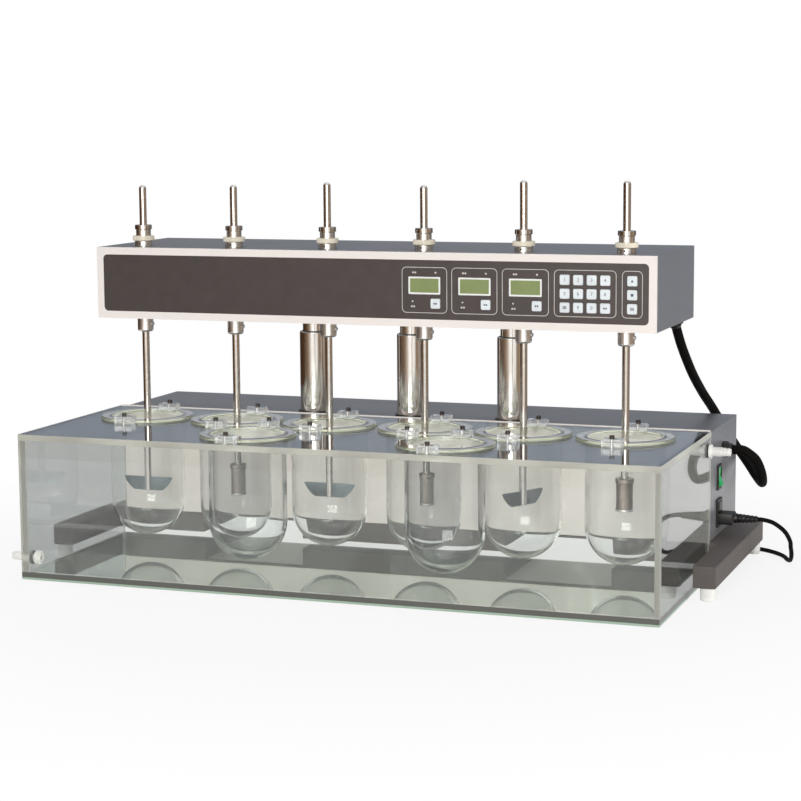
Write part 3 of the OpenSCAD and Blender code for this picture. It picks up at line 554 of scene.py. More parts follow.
class Finishes:
    """Every material of the tester, made once."""

    def __init__(self) -> None:
        """Make the materials."""
        self.grey_paint = Paint("grey_powder_coat", linear(112, 113, 117), 0.34).make()
        self.cream_paint = Paint("cream_satin_paint", linear(243, 236, 231), 0.4, 1800.0, 0.00003,
                                 0.02).make()
        self.base_paint = Paint("base_brown_grey_paint", linear(86, 80, 77), 0.62, 1200.0, 0.00003,
                                0.05).make()
        self.motor_paint = Paint("motor_dark_paint", linear(52, 54, 60), 0.35).make()
        self.chrome = Metal("chromed_tube", (0.88, 0.85, 0.81), 0.12, (6.0, 6.0, 1.0), 20.0, 0.01,
                            1e-7).make()
        self.steel = Metal("turned_steel", (0.80, 0.78, 0.75), 0.30, (1.0, 1.0, 40.0), 60.0, 0.03,
                           3e-7).make()
        self.rod_steel = Metal("ground_steel_rod", (0.70, 0.66, 0.62), 0.15, (1.0, 1.0, 12.0), 40.0,
                               0.01, 1e-7).make()
        self.blade_steel = Metal("polished_blade", (0.23, 0.28, 0.30), 0.20, (30.0, 30.0, 1.0), 40.0).make()
        self.screw_steel = Metal("dark_screw_steel", (0.09, 0.08, 0.075), 0.35, (1.0, 1.0, 1.0), 90.0).make()
        self.cap_steel = Metal("dull_basket_cap", (0.36, 0.32, 0.28), 0.28, (1.0, 1.0, 30.0), 60.0).make()
        self.milled = Metal("milled_aluminium", (0.68, 0.69, 0.71), 0.34, (1.0, 40.0, 1.0), 30.0).make()
        self.black = Moulding("black_moulding", linear(22, 20, 19), 0.42).make()
        self.sheath = Moulding("black_sheath", linear(14, 12, 11), 0.72, 700.0, ior=1.18).make()
        self.belt = Moulding("belt_rubber", linear(32, 32, 33), 0.65, 500.0).make()
        self.nylon = Moulding("white_nylon", linear(238, 238, 234), 0.35, 500.0, 0.00003).make()
        self.ivory = Moulding("ivory_nylon", linear(238, 230, 210), 0.38, 500.0, 0.00003).make()
        self.key = Moulding("white_key_cap", linear(232, 238, 242), 0.36, 1400.0, 0.00002).make()
        self.ink = Moulding("dark_key_print", linear(84, 96, 110), 0.55, 2000.0, 0.00001).make()
        self.pale_print = Moulding("pale_panel_print", linear(214, 208, 204), 0.55, 2000.0, 0.00001).make()
        self.film = Moulding("dark_panel_film", linear(70, 62, 60), 0.42, 2600.0, 0.00002).make()
        self.lens_frame = Moulding("white_display_frame", linear(240, 242, 238), 0.4, 1200.0, 0.00002).make()
        self.rocker = Moulding("lit_green_rocker", linear(40, 150, 84), 0.2, 400.0, 0.00002, 0.35).make()
        self.crystal = Crystal("green_liquid_crystal", linear(140, 154, 103), linear(132, 147, 97)).make()
        # The mesh's near-black gap colour is painted shade in the weave's openings.
        self.wire_mesh = Mesh("woven_steel_mesh", (0.34, 0.28, 0.23), (0.05, 0.04, 0.03)).make()
        self.acrylic = Clear("clear_acrylic", (0.90, 0.91, 0.895), 1.49).make()
        # The end boards' darker tint is painted shade.
        self.shaded_end_acrylic = Clear("painted_shade_end_acrylic", (0.43, 0.45, 0.45), 1.49).make()
        # The lid's dark blue-grey tint is painted shade and painted blue-grey reflection.
        self.shaded_lid_acrylic = Clear("painted_shade_lid_acrylic", (0.30, 0.34, 0.38), 1.49).make()
        self.board_edge = Cut("acrylic_cut_edge", (0.68, 0.68, 0.61), 0.32, 0.6).make()
        self.rim_edge = Cut("glass_rim_edge", (0.74, 0.78, 0.56), 0.15, 0.8).make()
        self.pane_edge = Cut("dark_pane_edge", (0.105, 0.108, 0.095), 0.3, 0.0).make()
        # The pale green strip under the pane is a painted highlight along its lower edge.
        self.pane_highlight = Cut("pale_green_painted_highlight", (0.45, 0.60, 0.48), 0.35, 0.2).make()
        self.clip_acrylic = Cut("clip_acrylic", (0.93, 0.95, 0.96), 0.08, 0.88).make()
        self.glass = Clear("vessel_glass", (0.98, 0.99, 0.985), 1.47).make()
        self.pane = Pane("mirrored_bath_floor", (0.54, 0.62, 0.56)).make()


# Building helpers


def finished(name: str, shape: bmesh.types.BMesh, finish: bpy.types.Material, sharp: float = 35.0) -> Piece:
    """Turn a bmesh into a linked object with smooth shading and crisp edges.

    Args:
        name: the object's name.
        shape: the bmesh, which is freed.
        finish: its material.
        sharp: the angle in degrees past which an edge stays crisp.

    Returns:
        The new object.
    """
    limit = math.radians(sharp)
    for face in shape.faces:
        face.smooth = True
    for edge in shape.edges:
        edge.smooth = not edge.is_manifold or edge.calc_face_angle(0.0) < limit
    mesh = bpy.data.meshes.new(name)
    shape.to_mesh(mesh)
    shape.free()
    mesh.materials.append(finish)
    made = bpy.data.objects.new(name, mesh)
    bpy.context.scene.collection.objects.link(made)
    return made


def fit(piece: Piece, body: str, slot: str, *nodes: str) -> Piece:
    """Let a piece ride on a body and hide the solids that it stands for.

    Args:
        piece: the object.
        body: the body's name.
        slot: not used.
        nodes: the solids that it replaces.

    Returns:
        The same object.
    """
    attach(piece, body)
    if nodes:
        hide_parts(*nodes)
    LOG.info("%s rides on %s", piece.name, body)
    return piece


def let_light_through(piece: Piece) -> Piece:
    """Keep a clear piece from shading what stands in or behind it, and return it."""
    piece.visible_shadow = piece.visible_diffuse = False
    return piece


def arc(middle: Point, radius: float, start: float, stop: float, steps: int) -> list[Point]:
    """Points on an arc about a middle, both ends included; the angles are in degrees."""
    angles = [math.radians(start + (stop - start) * k / steps) for k in range(steps + 1)]
    return [(middle[0] + radius * math.cos(a), middle[1] + radius * math.sin(a)) for a in angles]


def supported(profile: Sequence[Point], closed: bool, ease: float = 0.0004) -> list[Point]:
    """Add a point near each end of a profile's long runs, so that they shade as straight.

    Args:
        profile: points of radius and height.
        closed: whether the last point joins the first.
        ease: how far from the ends the new points lie.

    Returns:
        The longer profile.
    """
    points: list[Point] = []
    ends = [*profile[1:], profile[0]] if closed else profile[1:]
    for a, b in zip(profile, ends):
        points.append(a)
        run = math.dist(a, b)
        if run > 8.0 * ease:
            for share in (ease / run, 1.0 - ease / run):
                points.append((a[0] + (b[0] - a[0]) * share, a[1] + (b[1] - a[1]) * share))
    return points if closed else [*points, profile[-1]]


def turn(shape: bmesh.types.BMesh, profile: Sequence[Point], where: Matrix, closed: bool = True,
         steps: int = 64) -> None:
    """Spin a profile of radius and height about an axis and add it to a bmesh.

    Args:
        shape: the bmesh.
        profile: points of radius and height.
        where: takes the profile's frame, with its axis along Z, to the part's.
        closed: whether the profile's last point joins its first.
        steps: steps in a full turn.
    """
    corners = [shape.verts.new((radius, 0.0, height)) for radius, height in supported(profile, closed)]
    ends = corners[1:] + corners[:1] if closed else corners[1:]
    edges = [shape.edges.new((a, b)) for a, b in zip(corners, ends)]
    before = set(shape.verts) - set(corners)
    bmesh.ops.spin(shape, geom=corners + edges, cent=(0, 0, 0), axis=(0, 0, 1), angle=FULL_TURN,
                   steps=steps, use_merge=True)
    fresh = [vert for vert in shape.verts if vert not in before]
    bmesh.ops.remove_doubles(shape, verts=fresh, dist=FINE_WELD)
    fresh = [vert for vert in shape.verts if vert not in before]
    bmesh.ops.transform(shape, matrix=where, verts=fresh)
    around = list({face for vert in fresh for face in vert.link_faces})
    bmesh.ops.recalc_face_normals(shape, faces=around)


def turned(name: str, profile: Sequence[Point], where: Matrix, finish: bpy.types.Material,
           closed: bool = True, steps: int = 64) -> Piece:
    """A piece spun from one profile.

    Args:
        name: the object's name.
        profile: points of radius and height.
        where: takes the profile's frame, with its axis along Z, to the part's.
        finish: its material.
        closed: whether the profile's last point joins its first.
        steps: steps in a full turn.

    Returns:
        The new object.
    """
    shape = bmesh.new()
    turn(shape, profile, where, closed, steps)
    return finished(name, shape, finish)


def along(axis: str, place: Sequence[float]) -> Matrix:
    """The placing of a turned piece.

    Args:
        axis: which way its axis points: +X, -X, +Y, -Y, +Z or -Z.
        place: where its profile's zero height lies.

    Returns:
        The matrix.
    """
    way = Vector()
    way["XYZ".index(axis[1])] = 1.0 if axis[0] == "+" else -1.0
    spin = Vector((0, 0, 1)).rotation_difference(way).to_matrix().to_4x4()
    return Matrix.Translation(place) @ spin


def eased(radius: float, low: float, high: float, bore: float, edge: float) -> list[Point]:
    """The profile of a ring with eased outer edges.

    Args:
        radius: its outer radius.
        low: its lower height.
        high: its upper height.
        bore: its inner radius, or 0 for a solid disc.
        edge: the radius of its outer edges.

    Returns:
        The profile's points, for a closed profile if there is a bore.
    """
    lower = arc((radius - edge, low + edge), edge, -90, 0, 4)
    upper = arc((radius - edge, high - edge), edge, 0, 90, 4)
    return [(bore, low), *lower, *upper, (bore, high)]


def round_edges(shape: bmesh.types.BMesh, edges: Sequence[bmesh.types.BMEdge], width: float, steps: int,
                clamp: bool = False) -> None:
    """Round some of a bmesh's edges.

    Args:
        shape: the bmesh.
        edges: the edges.
        width: the width of the rounding.
        steps: its segments.
        clamp: whether neighbouring roundings stop where they meet.
    """
    bmesh.ops.bevel(shape, geom=edges, offset=width, offset_type="OFFSET", segments=steps, profile=0.5,
                    affect="EDGES", material=-1, clamp_overlap=clamp)


def add_box(shape: bmesh.types.BMesh, low: Sequence[float], high: Sequence[float]) -> None:
    """Add a box to a bmesh, from its lowest corner to its highest."""
    size, middle = Vector(high) - Vector(low), (Vector(low) + Vector(high)) / 2.0
    bmesh.ops.create_cube(shape, size=1.0, matrix=Matrix.LocRotScale(middle, None, size))


def refined(node: str, name: str, finish: bpy.types.Material, edge: float, shrink: float = 0.0) -> Piece:
    """A copy of a solid with its crisp edges rounded.

    Args:
        node: the solid's name.
        name: the copy's name.
        finish: its material.
        edge: the width of the rounding.
        shrink: how far its faces draw in, so that clear pieces don't share a face.

    Returns:
        The new object.
    """
    shape = bmesh.new()
    shape.from_mesh(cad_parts[node].data)
    bmesh.ops.remove_doubles(shape, verts=shape.verts, dist=WELD)
    bmesh.ops.dissolve_limit(shape, angle_limit=FLAT_ANGLE, verts=shape.verts, edges=shape.edges)
    crisp = [e for e in shape.edges if e.is_manifold and e.calc_face_angle(0.0) > CRISP_ANGLE]
    if edge:
        round_edges(shape, crisp, edge, 2, clamp=True)
    if shrink:
        shape.normal_update()
        moves = [(vert, vert.normal * shrink) for vert in shape.verts]
        for vert, move in moves:
            vert.co -= move
    return finished(name, shape, finish, COPY_SHARP)


def stand_in(node: str, name: str, finish: bpy.types.Material, edge: float, body: str, slot: str) -> Piece:
    """Put a rounded copy in a solid's place; the arguments are those of refined and fit."""
    return fit(refined(node, name, finish, edge), body, slot, node)


def tint_edges(piece: Piece, finish: bpy.types.Material, widest: float) -> Piece:
    """Give a board's narrow faces, its cut edges, a finish of their own.

    Args:
        piece: the board.
        finish: the edges' material.
        widest: the width up to which an upright face counts as an edge.

    Returns:
        The same object.
    """
    piece.data.materials.append(finish)
    for face in piece.data.polygons:
        corners = [piece.data.vertices[i].co for i in face.vertices]
        spans = sorted(max(c[axis] for c in corners) - min(c[axis] for c in corners) for axis in range(3))
        if abs(face.normal.z) < UPRIGHT and spans[1] <= widest:
            face.material_index = 1
    return piece


def round_corners(width: float, height: float, radius: float, steps: int = 6) -> list[Point]:
    """The outline of a rectangle with round corners, about its middle.

    Args:
        width: the outline's width.
        height: its height.
        radius: its corner radius.
        steps: steps in each corner.

    Returns:
        The outline's points, counterclockwise.
    """
    x, z = width / 2.0 - radius, height / 2.0 - radius
    corners = [((x, z), 0.0), ((-x, z), 90.0), ((-x, -z), 180.0), ((x, -z), 270.0)]
    return [p for middle, start in corners for p in arc(middle, radius, start, start + 90.0, steps)]


def slab(shape: bmesh.types.BMesh, outline: Sequence[Point], middle: Point, front: float,
         depth: float) -> None:
    """Add a slab that faces the front: an outline across and up, extruded back.

    Args:
        shape: the bmesh.
        outline: points across and up.
        middle: where the outline's zero lies across and up.
        front: the front's place along Y.
        depth: how far the slab goes back.
    """
    corners = [shape.verts.new((middle[0] + x, front, middle[1] + z)) for x, z in outline]
    face = shape.faces.new(corners)
    face.normal_update()
    if face.normal.y > 0:
        face.normal_flip()
    grown = bmesh.ops.extrude_face_region(shape, geom=[face], use_keep_orig=True)["geom"]
    back = [v for v in grown if isinstance(v, bmesh.types.BMVert)]
    bmesh.ops.translate(shape, verts=back, vec=(0.0, depth, 0.0))
    around = list({f for f in shape.faces if any(v in back for v in f.verts)} | {face})
    bmesh.ops.recalc_face_normals(shape, faces=around)


def frame_strip(shape: bmesh.types.BMesh, size: Point, radius: float, line: float, middle: Point,
                front: float, depth: float) -> None:
    """Add a flat frame with round corners that faces the front.

    Args:
        shape: the bmesh.
        size: its outer width and height.
        radius: its outer corner radius.
        line: the width of its line.
        middle: its middle across and up.
        front: its front's place along Y.
        depth: how far it goes back.
    """
    rings = []
    for inset in (0.0, line):
        outline = round_corners(size[0] - 2 * inset, size[1] - 2 * inset, max(radius - inset, 2 * GAP))
        corners = [shape.verts.new((middle[0] + x, front, middle[1] + z)) for x, z in outline]
        rings.append([shape.edges.new((a, b)) for a, b in zip(corners, corners[1:] + corners[:1])])
    faces = bmesh.ops.bridge_loops(shape, edges=rings[0] + rings[1])["faces"]
    grown = bmesh.ops.extrude_face_region(shape, geom=faces, use_keep_orig=True)["geom"]
    back = [v for v in grown if isinstance(v, bmesh.types.BMVert)]
    bmesh.ops.translate(shape, verts=back, vec=(0.0, depth, 0.0))
    bmesh.ops.recalc_face_normals(shape, faces=shape.faces)


def dress(node: str, finish: bpy.types.Material) -> None:
    """Give a solid that stays as it is a finish.

    Args:
        node: the solid's name.
        finish: the material.
    """
    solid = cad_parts[node].data
    solid.materials.clear()
    solid.materials.append(finish)
    LOG.info("%s keeps its solid", node)


def smooth_route(points: Sequence[Sequence[float]], steps: int) -> list[Vector]:
    """A curve through points, with an even number of steps between neighbours.

    Args:
        points: the points in millimetres.
        steps: steps from one point to the next.

    Returns:
        Points on the curve, in metres.
    """
    spots = [Vector(p) * MM for p in points]
    padded = [2 * spots[0] - spots[1], *spots, 2 * spots[-1] - spots[-2]]
    route = []
    for a, b, c, d in zip(padded, padded[1:], padded[2:], padded[3:]):
        for k in range(steps):
            t = k / steps
            route.append(0.5 * (2 * b + (c - a) * t + (2 * a - 5 * b + 4 * c - d) * t ** 2
                                + (3 * b - a - 3 * c + d) * t ** 3))
    return [*route, spots[-1]]


# Camera and studio


@dataclass
class PhotoCamera:
    """The camera, solved from the instrument's straight edges in the photograph."""

    place: Place = (0.9977, -2.7063, 0.6197)
    yaw: float = 19.875
    pitch: float = 7.717
    roll: float = -0.404
    focal_pixels: float = 2121.56
    frame_pixels: float = 801.0
    sensor: float = 36.0
    clip: Point = (0.1, 60.0)

    def build(self) -> None:
        """Make the camera and let the scene use it."""
        yaw, pitch, roll = (math.radians(a) for a in (self.yaw, self.pitch, self.roll))
        ahead = Vector((-math.sin(yaw) * math.cos(pitch), math.cos(yaw) * math.cos(pitch), -math.sin(pitch)))
        right = Vector((math.cos(yaw), math.sin(yaw), 0.0))
        up = right.cross(ahead)
        across = right * math.cos(roll) + up * math.sin(roll)
        upright = up * math.cos(roll) - right * math.sin(roll)
        data = bpy.data.cameras.new("photo_camera")
        data.sensor_fit = "HORIZONTAL"
        data.sensor_width = self.sensor
        data.lens = self.focal_pixels / self.frame_pixels * self.sensor
        data.clip_start, data.clip_end = self.clip
        camera = bpy.data.objects.new("photo_camera", data)
        bpy.context.scene.collection.objects.link(camera)
        turned_to = Matrix((across, upright, -ahead)).transposed().to_4x4()
        camera.matrix_world = Matrix.Translation(self.place) @ turned_to
        bpy.context.scene.camera = camera


@dataclass
class Studio:
    """A white floor under soft light, in a room that is darker behind the camera."""

    floor_half: float = 1.15
    floor_drop: float = 0.0006
    floor_white: float = 0.84
    floor_paint: tuple[float, float, float, float] = (0.93, 0.93, 0.93, 1.0)
    fade: Point = (0.55, 1.0)
    ambient: float = 0.24
    glare: float = 1.0
    lamps: tuple[tuple[str, Place, float, float, Colour], ...] = (
        ("window_lamp", (0.7, -3.2, 1.1), 1.8, 68.0, (1.0, 0.98, 0.96)),
        ("side_lamp", (3.0, 0.1, 0.5), 1.4, 42.0, (1.0, 0.98, 0.96)),
        ("top_lamp", (0.2, 0.9, 3.0), 2.6, 11.0, (0.93, 0.96, 1.0)),
        ("back_lamp", (-0.8, 3.2, 1.2), 2.0, 46.0, (1.0, 0.99, 0.97)),
        ("left_lamp", (-3.2, -0.4, 1.0), 1.6, 34.0, (0.97, 0.98, 1.0)),
    )
    matt_only: tuple[str, ...] = ("side_lamp", "back_lamp", "left_lamp")
    lamps_face: Place = (0.0, 0.0, 0.25)
    room: tuple[tuple[float, Colour], ...] = (
        (0.00, (0.27, 0.30, 0.37)), (0.10, (0.25, 0.27, 0.31)), (0.15, (0.04, 0.02, 0.01)),
        (0.34, (0.08, 0.04, 0.02)), (0.40, (0.22, 0.14, 0.08)), (0.46, (0.50, 0.40, 0.32)),
        (0.51, (1.0, 0.98, 0.95)), (0.63, (1.0, 0.97, 0.92)), (0.68, (0.24, 0.16, 0.10)),
        (0.80, (0.48, 0.37, 0.27)), (0.88, (0.14, 0.09, 0.06)), (0.93, (0.25, 0.27, 0.31)),
        (1.00, (0.27, 0.30, 0.37)))
    ceiling: tuple[float, float, float, float] = (0.80, 0.82, 0.86, 1.0)
    ceiling_from: Point = (0.35, 0.75)

    def build(self) -> None:
        """Make the floor, the lamps and the world."""
        self.build_floor()
        for lamp in self.lamps:
            self.build_lamp(*lamp)
        self.build_world()
        bpy.context.scene.view_settings.view_transform = "Standard"

    def build_floor(self) -> None:
        """Lay a white floor that keeps a soft shadow."""
        shape = bmesh.new()
        where = Matrix.Translation((0.0, 0.0, -self.floor_drop))
        bmesh.ops.create_grid(shape, x_segments=1, y_segments=1, size=self.floor_half, matrix=where)
        graph = Graph("studio_floor")
        lit = graph.node("BsdfDiffuse", {"Color": self.floor_paint})
        white = graph.node("Emission", {"Color": WHITE, "Strength": 1.0})
        rays = graph.node("LightPath").outputs
        seen = graph.math("MAXIMUM", rays["Is Camera Ray"], rays["Is Glossy Ray"])
        clear = graph.math("MAXIMUM", seen, rays["Is Transmission Ray"])
        reach = graph.node("VectorMath", operation="LENGTH")
        graph.link(graph.place(), reach.inputs[0])
        fade = graph.ranged(reach.outputs["Value"], self.fade, (self.floor_white, 1.0))
        mix = graph.mixed(graph.math("MULTIPLY", clear, fade), lit, white)
        finished("studio_floor", shape, graph.show(mix))

    def build_lamp(self, name: str, place: Place, size: float, power: float, colour: Colour) -> None:
        """Hang a square lamp that faces the instrument.

        Args:
            name: the lamp's name.
            place: where it hangs.
            size: its side.
            power: its power in watts.
            colour: its light's colour.
        """
        data = bpy.data.lights.new(name, "AREA")
        data.size, data.energy, data.color = size, power, colour
        lamp = bpy.data.objects.new(name, data)
        lamp.visible_glossy = lamp.visible_transmission = name not in self.matt_only
        bpy.context.scene.collection.objects.link(lamp)
        lamp.location = place
        lamp.rotation_euler = (Vector(self.lamps_face) - Vector(place)).to_track_quat("-Z", "Y").to_euler()

    def build_world(self) -> None:
        """White for the camera, even light for matt surfaces, and a warm room for reflections."""
        graph = Graph("studio_world", world=True)
        apart = graph.node("SeparateXYZ")
        graph.link(graph.node("TexCoord").outputs["Generated"], apart.inputs["Vector"])
        ahead = graph.math("MULTIPLY", apart.outputs["Y"], -1.0)
        bearing = graph.math("ARCTAN2", apart.outputs["X"], ahead)
        walls = graph.ramp(graph.ranged(bearing, (-math.pi, math.pi), (0.0, 1.0)), self.room)
        whole = graph.node("Mix", {"B": self.ceiling}, data_type="RGBA")
        overhead = graph.ranged(apart.outputs["Z"], self.ceiling_from, (0.0, 1.0))
        graph.feed(whole, {"Factor": overhead, "A": walls})
        even = graph.node("Background", {"Color": WHITE, "Strength": self.ambient})
        warm = graph.node("Background", {"Strength": self.glare})
        white = graph.node("Background", {"Color": WHITE})
        graph.feed(warm, {"Color": whole.outputs["Result"]})
        rays = graph.node("LightPath").outputs
        shown = even
        for ray, light in (("Is Glossy Ray", warm), ("Is Transmission Ray", white), ("Is Camera Ray", white)):
            shown = graph.mixed(rays[ray], shown, light)
        bpy.context.scene.world = graph.show(shown)


# Cords


@dataclass
class Dressed:
    """A sub-assembly, which holds the materials that it is dressed in."""

    looks: Finishes


@dataclass
class MainsLead(Dressed):
    """The mains cord with its two plugs: a short free run, then a coil behind the base."""

    diameter: float = 0.006
    route: tuple[Place, ...] = (
        (491, 119, 70), (497, 119, 70), (511, 122, 66), (525, 129, 54), (531, 140, 39), (531, 147, 29),
        (531, 153, 21), (530, 160, 13), (528, 168, 8), (525, 177, 4), (520, 187, 3), (512, 206, 3),
        (500, 223, 3), (485, 237, 3), (468, 247, 3), (449, 254, 3), (429, 259, 3), (409, 262, 3),
        (392, 263, 3), (380, 263, 3))
    coil_turns: float = 2.75
    coil_radius: float = 45.0
    coil_step: float = 6.8
    coil_rings: int = 48
    plug_edge: float = 0.0022
    relief_length: float = 0.032
    relief_root: float = 0.002
    relief_radius: float = 0.0070
    relief_end: float = 0.0039
    ribs: int = 6
    rib_radii: Point = (0.0068, 0.0042)
    rib_groove: float = 0.0008
    rib_ups: tuple[float, ...] = (0.0004, 0.0036, 0.0038, 0.0052)
    mains_size: Place = (0.030, 0.034, 0.0196)
    mains_edge: float = 0.004
    mains_relief: float = 0.020
    mains_sleeve: tuple[Point, ...] = (
        (0.0, 0.0), (0.004, 0.0), (0.0055, 0.012), (0.0068, 0.020), (0.0, 0.020))
    pin_radius: float = 0.0024
    pin_straight: float = 0.0166
    pin_off: float = 0.0095
    pin_sunk: float = 0.001
    tie_room: Point = (4.6, 4.4)
    tie_height: float = 0.0140
    tie_width: float = 0.004
    tie_wire: float = 0.0010
    tie_corner: float = 0.0045

    def coil(self) -> list[Place]:
        """The coil's points: in, up a layer in half a turn, and out again.

        Returns:
            The points in millimetres, with a straight end for the plug.
        """
        start = self.route[-1]
        middle = (start[0] - self.diameter / MM, start[1] + self.coil_radius)
        reverse = self.coil_turns + 0.25
        points = []
        for k in range(int(self.coil_rings * (2 * self.coil_turns + 0.75)) + 1):
            turns = k / self.coil_rings
            angle = math.radians(-90.0) - FULL_TURN * turns
            radius = self.coil_radius - self.coil_step * (reverse - abs(turns - reverse))
            rise = (1.0 - math.cos(FULL_TURN * min(max(turns - self.coil_turns, 0.0), 0.5))) / 2.0
            points.append((middle[0] + radius * math.cos(angle), middle[1] + radius * math.sin(angle),
                           start[2] + self.coil_step * rise))
        end = points[-1]
        straight = [(end[0], end[1] + k * self.diameter / MM, end[2]) for k in (1, 2)]
        return points + straight

    def build(self) -> None:
        """Make the cord and its plugs."""
        free = smooth_route(self.route, 6)
        wound = [Vector(p) * MM for p in self.coil()]
        path = free + wound
        data = bpy.data.curves.new("power_lead", "CURVE")
        data.dimensions = "3D"
        data.bevel_depth = self.diameter / 2.0
        data.bevel_resolution = 4
        data.use_fill_caps = True
        spline = data.splines.new("POLY")
        spline.points.add(len(path) - 1)
        for spot, place in zip(spline.points, path):
            spot.co = (*place, 1.0)
        spline.use_smooth = True
        data.materials.append(self.looks.sheath)
        lead = bpy.data.objects.new("power_lead", data)
        bpy.context.scene.collection.objects.link(lead)
        fit(lead, Body.BASE.value, "cord_rubber", "power_cord", "power_cord_coil")
        plug = self.build_plug()
        mains = self.build_mains(wound[-1])
        tie = self.build_tie()

    def build_plug(self) -> Piece:
        """The plug in the inlet: a block and a ribbed strain relief.

        Returns:
            The plug.
        """
        low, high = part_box("power_plug")
        middle = (low + high) / 2.0
        shape = bmesh.new()
        body_end = high.x - self.relief_length
        add_box(shape, low, (body_end, high.y, high.z))
        round_edges(shape, shape.edges[:], self.plug_edge, 3)
        profile = [(0.0, -self.relief_root), (self.relief_radius, -self.relief_root),
                   (self.relief_radius, 0.0)]
        widest, narrowest = self.rib_radii
        for k in range(self.ribs):
            near = widest - (widest - narrowest) * k / self.ribs
            start = self.relief_length * k / self.ribs
            rises = [near, near, near - self.rib_groove, near - self.rib_groove]
            profile += [(radius, start + up) for radius, up in zip(rises, self.rib_ups)]
        profile += [(self.relief_end, self.relief_length), (0.0, self.relief_length)]
        turn(shape, profile, along("+X", (body_end, middle.y, middle.z)), closed=False, steps=32)
        plug = finished("inlet_plug", shape, self.looks.black)
        return fit(plug, Body.BASE.value, "black_plastic", "power_plug")

    def build_mains(self, start: Vector) -> list[Piece]:
        """The mains plug on the coil's end, with two pins.

        Args:
            start: the cord's end.

        Returns:
            The plug's body and its pins.
        """
        base = Body.BASE.value
        half = Vector((self.mains_size[0] / 2.0, 0.0, self.mains_size[2] / 2.0))
        foot = start + Vector((0.0, self.mains_relief, 0.0))
        face = foot + Vector((0.0, self.mains_size[1], 0.0))
        shape = bmesh.new()
        add_box(shape, foot - half, face + half)
        round_edges(shape, shape.edges[:], self.mains_edge, 4)
        turn(shape, self.mains_sleeve, along("+Y", start), closed=False, steps=32)
        body = fit(finished("mains_plug_body", shape, self.looks.black), base, "black_plastic", "mains_plug")
        pins = bmesh.new()
        pin = [(0.0, 0.0), (self.pin_radius, 0.0), *arc((0.0, self.pin_straight), self.pin_radius, 0, 90, 5)]
        for side in (-1, 1):
            place = (start.x + side * self.pin_off, face.y - self.pin_sunk, start.z)
            turn(pins, pin, along("+Y", place), closed=False, steps=24)
        return [body, fit(finished("mains_plug_pins", pins, self.looks.steel), base, "steel")]

    def build_tie(self) -> Piece:
        """A wire tie round the coil's turns, on its far side from the plug.

        Returns:
            The tie.
        """
        start = self.route[-1]
        middle = ((start[0] - self.diameter / MM) * MM, (start[1] + self.coil_radius) * MM)
        inner = self.coil_radius - self.coil_step * (self.coil_turns + 0.25) - self.tie_room[0]
        outer = self.coil_radius + self.tie_room[1]
        shape = bmesh.new()
        centre = (middle[0] + (inner + outer) / 2.0 * MM, self.tie_height / 2.0)
        frame_strip(shape, ((outer - inner) * MM, self.tie_height), self.tie_corner, self.tie_wire, centre,
                    middle[1] - self.tie_width / 2.0, self.tie_width)
        return fit(finished("coil_tie", shape, self.looks.black), Body.BASE.value, "black_plastic")


@dataclass
class HeadConduit(Dressed):
    """The black conduit from the head down behind the cabinet and round to its side."""

    diameter: float = 0.013
    ring_step: float = 0.003
    sides: int = 28
    route: tuple[Place, ...] = (
        (376.6, 111.1, 331.3), (378.2, 117.3, 320), (381, 126, 304), (384, 147, 282), (387, 179, 256),
        (391, 223, 227), (398, 254, 203), (407, 266, 183), (420, 268, 162), (436, 261, 142), (452, 247, 126),
        (467, 226, 113), (479, 203, 107), (485, 181, 112), (486, 165, 127), (481, 154, 145), (472, 148, 155),
        (463, 146, 160), (450, 146, 160))

    def even_route(self) -> list[Vector]:
        """The route with one point every ring.

        Returns:
            The points, in metres.
        """
        fine = smooth_route(self.route, 24)
        even, left = [fine[0]], self.ring_step
        for a, b in zip(fine, fine[1:]):
            gap = (b - a).length
            while left < gap:
                even.append(a.lerp(b, left / gap))
                left += self.ring_step
            left -= gap
        return [*even, fine[-1]]

    def build(self) -> None:
        """Sweep a tube along the route."""
        path = self.even_route()
        shape = bmesh.new()
        side = Vector((1.0, 0.0, 0.0))
        radius = self.diameter / 2.0
        angles = [FULL_TURN * n / self.sides for n in range(self.sides)]
        rings = []
        for k, place in enumerate(path):
            ahead = (path[min(k + 1, len(path) - 1)] - path[max(k - 1, 0)]).normalized()
            side = (side - ahead * side.dot(ahead)).normalized()
            other = ahead.cross(side)
            spots = [place + radius * (side * math.cos(a) + other * math.sin(a)) for a in angles]
            rings.append([shape.verts.new(spot) for spot in spots])
        for near, far in zip(rings, rings[1:]):
            for n in range(self.sides):
                m = (n + 1) % self.sides
                shape.faces.new((near[n], near[m], far[m], far[n]))
        shape.faces.new(rings[0][::-1])
        shape.faces.new(rings[-1])
        bmesh.ops.recalc_face_normals(shape, faces=shape.faces)
        tube = finished("head_conduit", shape, self.looks.sheath, sharp=60.0)
        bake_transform(tube)
        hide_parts("conduit")
        LOG.info("head_conduit bends between the head and the base")


# Base, cabinet and columns


